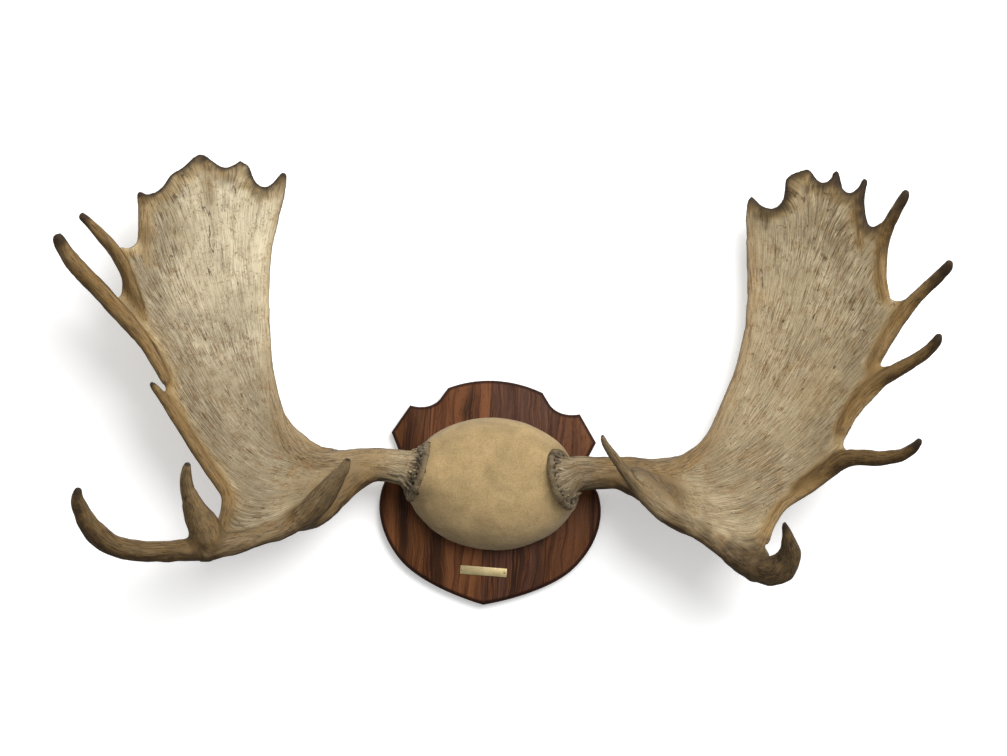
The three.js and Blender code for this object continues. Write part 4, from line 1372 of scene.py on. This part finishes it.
set_positions(cap, press_round(press_round(positions(cap) / MM, LEFT), RIGHT) * MM)
modify(cap, "SMOOTH", factor=0.5, iterations=3)
points = positions(cap) / MM
ripples = 1.6 * (noise(points / 22) - 0.5) + 0.35 * (noise(points / 7) - 0.5)
set_positions(cap, positions(cap) + normals(cap) * ripples[:, None] * MM)
for antler in (LEFT, RIGHT):
    centre, axis = antler["burr"]
    wide = BURR_RADIUS + 0.4
    room = spun([(0.01, -0.3), (wide, -0.3), (wide, 60), (0.01, 60)], 96)
    room.matrix_world = turned_to(axis, centre)
    apply_place(room)
    modify(cap, "BOOLEAN", operation="DIFFERENCE", object=room, solver="EXACT")
    bpy.data.objects.remove(room)
select_only(cap)
bpy.ops.object.mode_set(mode="EDIT")
bpy.ops.mesh.select_all(action="SELECT")
bpy.ops.mesh.bisect(
    plane_co=(0, FRONT * MM, 0), plane_no=(0, 1, 0), use_fill=True, clear_outer=True,
)
bpy.ops.object.mode_set(mode="OBJECT")
print("the cap reaches", round(-positions(cap)[:, 1].min() / MM), "mm out from the wall")

# %% [markdown]
# Suede is leather with its nap raised. It scatters light from every side, so it is fully rough
# with a soft sheen, and strokes of a hand leave paler and darker patches.

# %% Suede
def suede_material():
    material, tree = new_material("suede_leather")
    spot = add(tree, "TexCoord", out="Object")
    stroked = add(tree, "TexNoise", {
        "Vector": spot, "Scale": 17.0, "Detail": 5.0, "Roughness": 0.6, "Distortion": 0.6,
    })
    nap = add(tree, "TexNoise", {"Vector": spot, "Scale": 420.0, "Detail": 3.0})
    fibre = add(tree, "TexNoise", {"Vector": spot, "Scale": 950.0, "Detail": 1.0})
    share = add(tree, "MapRange", {0: stroked, 1: 0.33, 2: 0.68}, interpolation_type="SMOOTHSTEP")
    colour = add(tree, "Mix", {0: share, 6: "#b0956a", 7: "#957e58"}, out=2, data_type="RGBA")
    patch = add(tree, "TexNoise", {"Vector": spot, "Scale": 62.0, "Detail": 4.0, "Roughness": 0.7})
    layers = (  # pattern, where it starts and ends, how much, colour
        (patch, 0.45, 0.7, 0.4, "#7f6b47"), (nap, 0.4, 0.7, 0.35, "#77633a"),
        (fibre, 0.45, 0.75, 0.35, "#cbb686"),
    )
    for pattern, start, end, most, tint in layers:
        share = add(tree, "MapRange", {0: pattern, 1: start, 2: end, 3: 0.0, 4: most})
        colour = add(tree, "Mix", {0: share, 6: colour, 7: tint}, out=2, data_type="RGBA")
    height = add(tree, "Math", {0: nap, 1: fibre}, operation="ADD")
    bump = add(tree, "Bump", {"Strength": 0.6, "Distance": 0.5 * MM, "Height": height})
    shader = add(tree, "BsdfPrincipled", {
        "Base Color": colour, "Roughness": 0.95, "Normal": bump, "Specular IOR Level": 0.2,
        "Sheen Weight": 0.15, "Sheen Roughness": 0.5,
    })
    tree.links.new(shader, tree.nodes.new("ShaderNodeOutputMaterial").inputs[0])
    return material


select_only(cap)
bpy.ops.object.shade_smooth_by_angle(angle=math.radians(40))
finish_piece(cap, "suede_cap", "suede", suede_material(), "skull_cap")

# %% [markdown]
# ## The shield
#
# The shield is sawn from glued walnut boards, and its front edge is routed to a rounded profile
# and stained dark. Its outline is drawn once, extruded, and the edge is made by insets.

# %% Shield outline
PLAQUE = {"thickness": 19, "edge": 6, "arch_radius": 172, "tip_z": -161, "top_z": 162}
SIDE_SHARES = {"right": 1.022, "left": 0.988}  # sawn by eye: the right half is the wider
ARCH_HALF = 68


def curve_through(start, control_one, control_two, end, count=18):
    t = np.linspace(0, 1, count, endpoint=False)[:, None]
    return (
        (1 - t) ** 3 * start + 3 * (1 - t) ** 2 * t * control_one
        + 3 * (1 - t) * t**2 * control_two + t**3 * end
    )


def shield_outline():
    """The shield's edge as rows of x, z in mm, from the bottom tip up the right side and round."""
    waist, ear, notch = np.array([136, 56]), np.array([147, 80]), np.array([122, 120])
    tip, side, hip = np.array([0, PLAQUE["tip_z"]]), np.array([124, -103]), np.array([153, 8])
    bend = np.array([136, 33])
    foot = np.array([76, 136])
    arch = math.asin(ARCH_HALF / PLAQUE["arch_radius"])
    middle = PLAQUE["top_z"] - PLAQUE["arch_radius"]
    angles = np.linspace(arch, 0, 16)
    top = PLAQUE["arch_radius"] * np.column_stack([np.sin(angles), np.cos(angles)]) + [0, middle]
    right = np.vstack([
        curve_through(tip, np.array([36, -153]), np.array([97, -132]), side),
        curve_through(side, np.array([152, -73]), np.array([168, -30]), hip),
        curve_through(hip, hip + (bend - hip) * 2 / 3, waist + (bend - waist) * 2 / 3, waist, 8),
        waist, ear,
        curve_through(notch, np.array([102, 115]), np.array([84, 121]), foot, 14),
        foot, top,
    ])
    left = right[1:-1][::-1] * [-SIDE_SHARES["left"], 1]
    return np.vstack([right * [SIDE_SHARES["right"], 1], left])


print("shield outline has", len(shield_outline()), "points")

# %% Shield board
EDGE_STEPS = [(0.7, 2.4), (1.1, 1.6), (1.6, 1.2), (2.6, 0.8)]  # mm in, mm forward
HANGER = {"z": 112, "width": 17, "height": 50, "thickness": 2, "sink": 0.2}
POCKET = {"width": 13, "height": 30, "depth": 10.5}
SKULL_SCREWS = [(5, 62), (-42, -18), (52, -18)]  # x and z
SKULL_SCREW = {"head": 4.6, "rim": 0.4, "neck": 3.4, "shank": 2.4, "length": 44}
HANGER_SCREW = {"head": 2.9, "rim": 0.4, "neck": 1.7, "shank": 1.5, "length": 15}
HANGER_SCREW_OUT = 20.5  # from the plate's middle
GAP = 0.3


def block(width, depth, height, place):
    bpy.ops.object.select_all(action="DESELECT")
    bpy.ops.mesh.primitive_cube_add(
        size=MM, location=Vector(place) * MM, scale=(width, depth, height),
    )
    piece = bpy.context.view_layer.objects.active
    apply_place(piece)
    return piece


def shield_board():
    outline = shield_outline()
    bpy.ops.object.select_all(action="DESELECT")
    bpy.ops.mesh.primitive_circle_add(vertices=len(outline), radius=1, fill_type="NGON")
    board = bpy.context.view_layer.objects.active
    back = np.column_stack([outline[:, 0], np.zeros(len(outline)), outline[:, 1]])
    set_positions(board, back * MM)
    bpy.ops.object.mode_set(mode="EDIT")
    bpy.ops.mesh.select_all(action="SELECT")
    straight = (PLAQUE["thickness"] - PLAQUE["edge"]) * MM
    bpy.ops.mesh.extrude_region_move(TRANSFORM_OT_translate={"value": (0, -straight, 0)})
    for inward, forward in EDGE_STEPS:
        bpy.ops.mesh.inset(thickness=inward * MM, depth=0)
        bpy.ops.transform.translate(value=(0, -forward * MM, 0))
    bpy.ops.mesh.select_all(action="SELECT")
    bpy.ops.mesh.normals_make_consistent(inside=False)
    bpy.ops.object.mode_set(mode="OBJECT")
    bed = HANGER["thickness"] + HANGER["sink"] + GAP
    cuts = [
        block(HANGER["width"] + 2 * GAP, 2 * bed, HANGER["height"] + 2 * GAP, (0, 0, HANGER["z"])),
        block(POCKET["width"], 2 * POCKET["depth"], POCKET["height"], (0, 0, HANGER["z"])),
    ]
    head, shank = SKULL_SCREW["head"] + GAP, SKULL_SCREW["shank"] + GAP
    for x, z in SKULL_SCREWS:
        way = spun([(0.01, -1), (head, -1), (head, 1.0), (shank, 4.3), (shank, 30), (0.01, 30)], 32)
        way.matrix_world = turned_to((0, -1, 0), (x, 0, z))
        apply_place(way)
        cuts.append(way)
    for cut in cuts:
        modify(board, "BOOLEAN", operation="DIFFERENCE", object=cut, solver="EXACT")
        bpy.data.objects.remove(cut)
    return board


board = shield_board()
print("the board has", len(board.data.polygons), "faces")

# %% [markdown]
# Oiled walnut is a warm brown with dark heartwood bands. The grain stands upright, and each of the
# four boards has its own tone and figure. Pores show as short dark dashes: they are really a
# quarter of a millimetre wide, and are drawn wider so that they show.

# %% Walnut
BOARDS = [  # the four glued boards: left edge in mm and tone
    (-165, "#54331c"), (-90, "#6c4329"), (-6, "#4d3226"), (81, "#5b3822"),
]
GRAIN = {  # width and length in mm
    "heart": (34.0, 330.0), "ring": (7.0, 190.0), "line": (1.5, 60.0), "pore": (0.9, 7.0),
}
WALNUT_STAINS = [
    ("#35190e", ("ring", 0.46, 0.66, 0.0, 0.7)), ("#24130a", ("heart", 0.5, 0.66, 0.0, 0.85)),
    ("#784b2c", ("heart", 0.44, 0.32, 0.0, 0.5)), ("#80502c", ("line", 0.5, 0.34, 0.0, 0.35)),
    ("#1f110a", ("pore", 0.6, 0.72, 0.0, 0.6)), ("#28150f", "rim", 0.85),
]


def board_tones(tree, spot):
    """The tone of the board at each place, which also tells the boards apart."""
    across = add(tree, "SeparateXYZ", {0: spot}, out=0)
    half = -BOARDS[0][0]
    tone = add(tree, "ValToRGB", {
        0: add(tree, "MapRange", {0: across, 1: -half * MM, 2: half * MM}),
    })
    ramp = tone.node.color_ramp
    ramp.interpolation = "CONSTANT"
    for number, (edge, colour) in enumerate(BOARDS):
        stop = ramp.elements[number] if number < 2 else ramp.elements.new(0.99)
        stop.position = (edge + half) / (2 * half)
        stop.color = hex_colour(colour)
    return tone


def walnut_material():
    material, tree = new_material("oiled_walnut")
    spot = add(tree, "TexCoord", out="Object")
    tone = board_tones(tree, spot)
    shift = add(tree, "VectorMath", {0: tone, 1: (9.0, 5.0, 40.0)}, operation="MULTIPLY")
    place = add(tree, "VectorMath", {0: spot, 1: shift}, operation="ADD")
    drift = add(tree, "VectorMath", {0: place, 1: (6.0, 6.0, 3.0)}, operation="MULTIPLY")
    wander = add(tree, "TexNoise", {"Vector": drift, "Scale": 1.6, "Detail": 3.0})
    bend = add(tree, "CombineXYZ", {
        0: add(tree, "Math", {0: wander, 1: 0.06}, operation="MULTIPLY"),
    })
    bent = add(tree, "VectorMath", {0: place, 1: bend}, operation="ADD")
    found = {"rim": add(tree, "Attribute", out="Fac", attribute_name="rim")}
    for name, (width, length) in GRAIN.items():
        scale = (1000 / width, 1000 / width, 1000 / length)
        stretched = add(tree, "VectorMath", {0: bent, 1: scale}, operation="MULTIPLY")
        found[name] = add(tree, "TexNoise", {"Vector": stretched, "Scale": 1.0, "Detail": 2.0})
    sheen = add(tree, "MapRange", {0: found["pore"], 1: 0.4, 2: 0.7, 3: 0.42, 4: 0.6},
                interpolation_type="SMOOTHSTEP")
    bump = add(tree, "Bump", {"Strength": 0.35, "Distance": 0.25 * MM, "Height": found["pore"]})
    colour = stained(tree, found, tone, WALNUT_STAINS)
    shader = add(tree, "BsdfPrincipled", {
        "Base Color": colour, "Roughness": sheen, "Normal": bump, "IOR": 1.5,
        "Specular IOR Level": 0.08,
    })
    tree.links.new(shader, tree.nodes.new("ShaderNodeOutputMaterial").inputs[0])
    return material


select_only(board)
bpy.ops.object.shade_smooth_by_angle(angle=math.radians(32))
depths = -positions(board)[:, 1] / MM
rim_depths = (PLAQUE["thickness"] - PLAQUE["edge"] - 0.1, PLAQUE["thickness"] - 0.2)
paint(board, "rim", ((depths > rim_depths[0]) & (depths < rim_depths[1])).astype(float))
finish_piece(board, "walnut_shield", "walnut", walnut_material(), "plaque")

# %% [markdown]
# ## Brass and steel fittings
#
# The name plate is cut from brass sheet and lightly rounded at its edges. It is bare. Two
# round-headed pins hold it, a little askew. The screws and the keyhole plate are zinc-plated steel.

# %% Metals
def metal_material(name, colour, worn, roughness, scale):
    material, tree = new_material(name)
    spot = add(tree, "TexCoord", out="Object")
    drawn_out = add(tree, "VectorMath", {0: spot, 1: scale}, operation="MULTIPLY")
    lines = add(tree, "TexNoise", {"Vector": drawn_out, "Scale": 1.0, "Detail": 3.0})
    cloud = add(tree, "TexNoise", {"Vector": spot, "Scale": 70.0, "Detail": 4.0})
    share = add(tree, "MapRange", {0: cloud, 1: 0.35, 2: 0.75, 3: 0.0, 4: 0.6})
    tint = add(tree, "Mix", {0: share, 6: colour, 7: worn}, out=2, data_type="RGBA")
    rough = add(tree, "MapRange", {0: lines, 1: 0.3, 2: 0.7, 3: roughness, 4: roughness + 0.16})
    bump = add(tree, "Bump", {"Strength": 0.25, "Distance": 0.05 * MM, "Height": lines})
    shader = add(tree, "BsdfPrincipled", {
        "Base Color": tint, "Metallic": 1.0, "Roughness": rough, "Normal": bump,
    })
    tree.links.new(shader, tree.nodes.new("ShaderNodeOutputMaterial").inputs[0])
    return material


brass = metal_material("satin_brass", "#b3a57f", "#8b784c", 0.5, (60.0, 900.0, 1400.0))
steel = metal_material("zinc_plated_steel", "#b9bbbd", "#8f9193", 0.34, (700.0, 700.0, 90.0))
print("metals:", brass.name, steel.name)

# %% Name plate and pins
NAME_PLATE = {"width": 67, "height": 12.5, "thickness": 1, "z": -113.5, "x": -2, "turn": -1.3}
PIN = {"radius": 0.9, "head": 1.5, "inset": 3.2}

plate = block(NAME_PLATE["width"], NAME_PLATE["thickness"], NAME_PLATE["height"],
              (0, FRONT - NAME_PLATE["thickness"] / 2, 0))
modify(plate, "BEVEL", width=0.3 * MM, segments=2)
pose = Matrix.Translation(Vector((NAME_PLATE["x"], 0, NAME_PLATE["z"])) * MM)
pose = pose @ Matrix.Rotation(math.radians(-NAME_PLATE["turn"]), 4, "Y")
plate.matrix_world = pose
apply_place(plate)
select_only(plate)
bpy.ops.object.shade_smooth_by_angle(angle=math.radians(30))
finish_piece(plate, "brass_plate", "brass", brass, "name_plate")

for number, end in enumerate((-1, 1), 1):
    pin = spun([(0.01, -6), (PIN["radius"], -5.6), (PIN["radius"], 0.0), (PIN["head"], 0.05),
                (PIN["head"] * 0.92, 0.35), (PIN["head"] * 0.62, 0.68), (0.01, 0.8)], 24)
    spot = pose @ Vector((end * (NAME_PLATE["width"] / 2 - PIN["inset"]) * MM, 0, 0))
    spot.y = (FRONT - NAME_PLATE["thickness"]) * MM
    pin.matrix_world = turned_to((0, -1, 0), spot / MM)
    apply_place(pin)
    bpy.ops.object.shade_smooth_by_angle(angle=math.radians(40))
    finish_piece(pin, "brass_pin_" + str(number), "brass", brass, "name_plate_pin_" + str(number))

# %% Screws
def screw(place, head, rim, neck, shank, length):
    """A countersunk screw that points forward from the back, with a cross cut in its head."""
    piece = spun([(0.01, 0), (head, 0), (head, rim), (shank, neck), (shank, length - 2 * shank),
                  (0.01, length)], 32)
    for width, height in ((head * 1.15, head * 0.26), (head * 0.26, head * 1.15)):
        cross = block(width, height, head * 0.7, (0, 0, 0))
        modify(piece, "BOOLEAN", operation="DIFFERENCE", object=cross, solver="EXACT")
        bpy.data.objects.remove(cross)
    piece.matrix_world = turned_to((0, -1, 0), place)
    apply_place(piece)
    bpy.ops.object.shade_smooth_by_angle(angle=math.radians(35))
    return piece


for number, (x, z) in enumerate(SKULL_SCREWS, 1):
    name = "skull_screw_" + str(number)
    piece = screw((x, -0.6, z), **SKULL_SCREW)
    finish_piece(piece, "steel_" + name, "steel", steel, name)
for number, side in enumerate((-1, 1), 1):
    name = "hanger_screw_" + str(number)
    piece = screw((0, -HANGER["sink"], HANGER["z"] + side * HANGER_SCREW_OUT), **HANGER_SCREW)
    finish_piece(piece, "steel_" + name, "steel", steel, name)
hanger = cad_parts["hanger_plate"]
for number in range(len(hanger.material_slots)):
    hanger.material_slots[number].material = steel

# %% [markdown]
# ## Floor, wall and light
#
# The mount hangs on a plain white wall, and its shadows fall on it. The wall is seen from the
# front only, and it lets light through to the back. A large soft light stands in front, above and
# to the right, and a dim one behind serves the views of the back.

# %% Wall and floor
def plain(name, colour, glow, one_sided):
    """A plain painted finish, with a little glow of its own as a lit backdrop has."""
    material, tree = new_material(name)
    shader = add(tree, "BsdfDiffuse", {"Color": colour})
    lit = add(tree, "Emission", {"Color": colour, "Strength": glow})
    shader = add(tree, "AddShader", {0: shader, 1: lit})
    if one_sided:
        behind = add(tree, "NewGeometry", out="Backfacing")
        shader = add(tree, "MixShader", {0: behind, 1: shader, 2: add(tree, "BsdfTransparent")})
    tree.links.new(shader, tree.nodes.new("ShaderNodeOutputMaterial").inputs[0])
    return material


FLOOR_Z = -1.3  # metres
WALL_Y = 0.0006  # metres, just behind the plaque's back
bpy.ops.object.select_all(action="DESELECT")
bpy.ops.mesh.primitive_plane_add(size=12, location=(0, 0, FLOOR_Z))
floor = bpy.context.view_layer.objects.active
floor.name = "floor"
floor.data.materials.append(plain("pale_floor", "#e4e2de", 0.1, False))
bpy.ops.mesh.primitive_plane_add(size=9, location=(0, WALL_Y, 0), rotation=(math.pi / 2, 0, 0))
wall = bpy.context.view_layer.objects.active
wall.name = "wall"
wall.data.materials.append(plain("white_wall", "#f4f4f4", 0.33, True))
wall.visible_shadow = False
for backdrop in (floor, wall):
    backdrop.visible_diffuse = backdrop.visible_glossy = False
print("the wall stands", WALL_Y / MM, "mm behind the plaque")

# %% Lights
LIGHT_AIM = (0, 0, 0.1)


def area_light(name, place, size, watts):
    """A round soft light that shines at the mount."""
    light = bpy.data.lights.new(name, "AREA")
    light.shape = "DISK"
    light.size = size
    light.energy = watts
    lamp = bpy.data.objects.new(name, light)
    bpy.context.scene.collection.objects.link(lamp)
    turn = (Vector(LIGHT_AIM) - Vector(place)).to_track_quat("-Z", "Y").to_matrix().to_4x4()
    lamp.matrix_world = Matrix.Translation(place) @ turn


area_light("key", (1.2, -3.0, 1.45), 2.3, 113)
area_light("back_fill", (-1.2, 2.6, 1.2), 2.0, 40)
world = bpy.data.worlds.new("studio")
world.use_nodes = True
sky = world.node_tree
direction = add(sky, "SeparateXYZ", {0: add(sky, "TexCoord", out="Generated")}, out=2)
sky.nodes["Background"].inputs["Color"].default_value = hex_colour("#ffffff")
brightness = add(sky, "MapRange", {0: direction, 1: -0.6, 2: 0.7, 3: 0.3, 4: 0.8})
sky.links.new(brightness, sky.nodes["Background"].inputs["Strength"])
bpy.context.scene.world = world
bpy.context.scene.view_settings.view_transform = "Standard"
print("the studio has", len(bpy.data.lights), "lights")
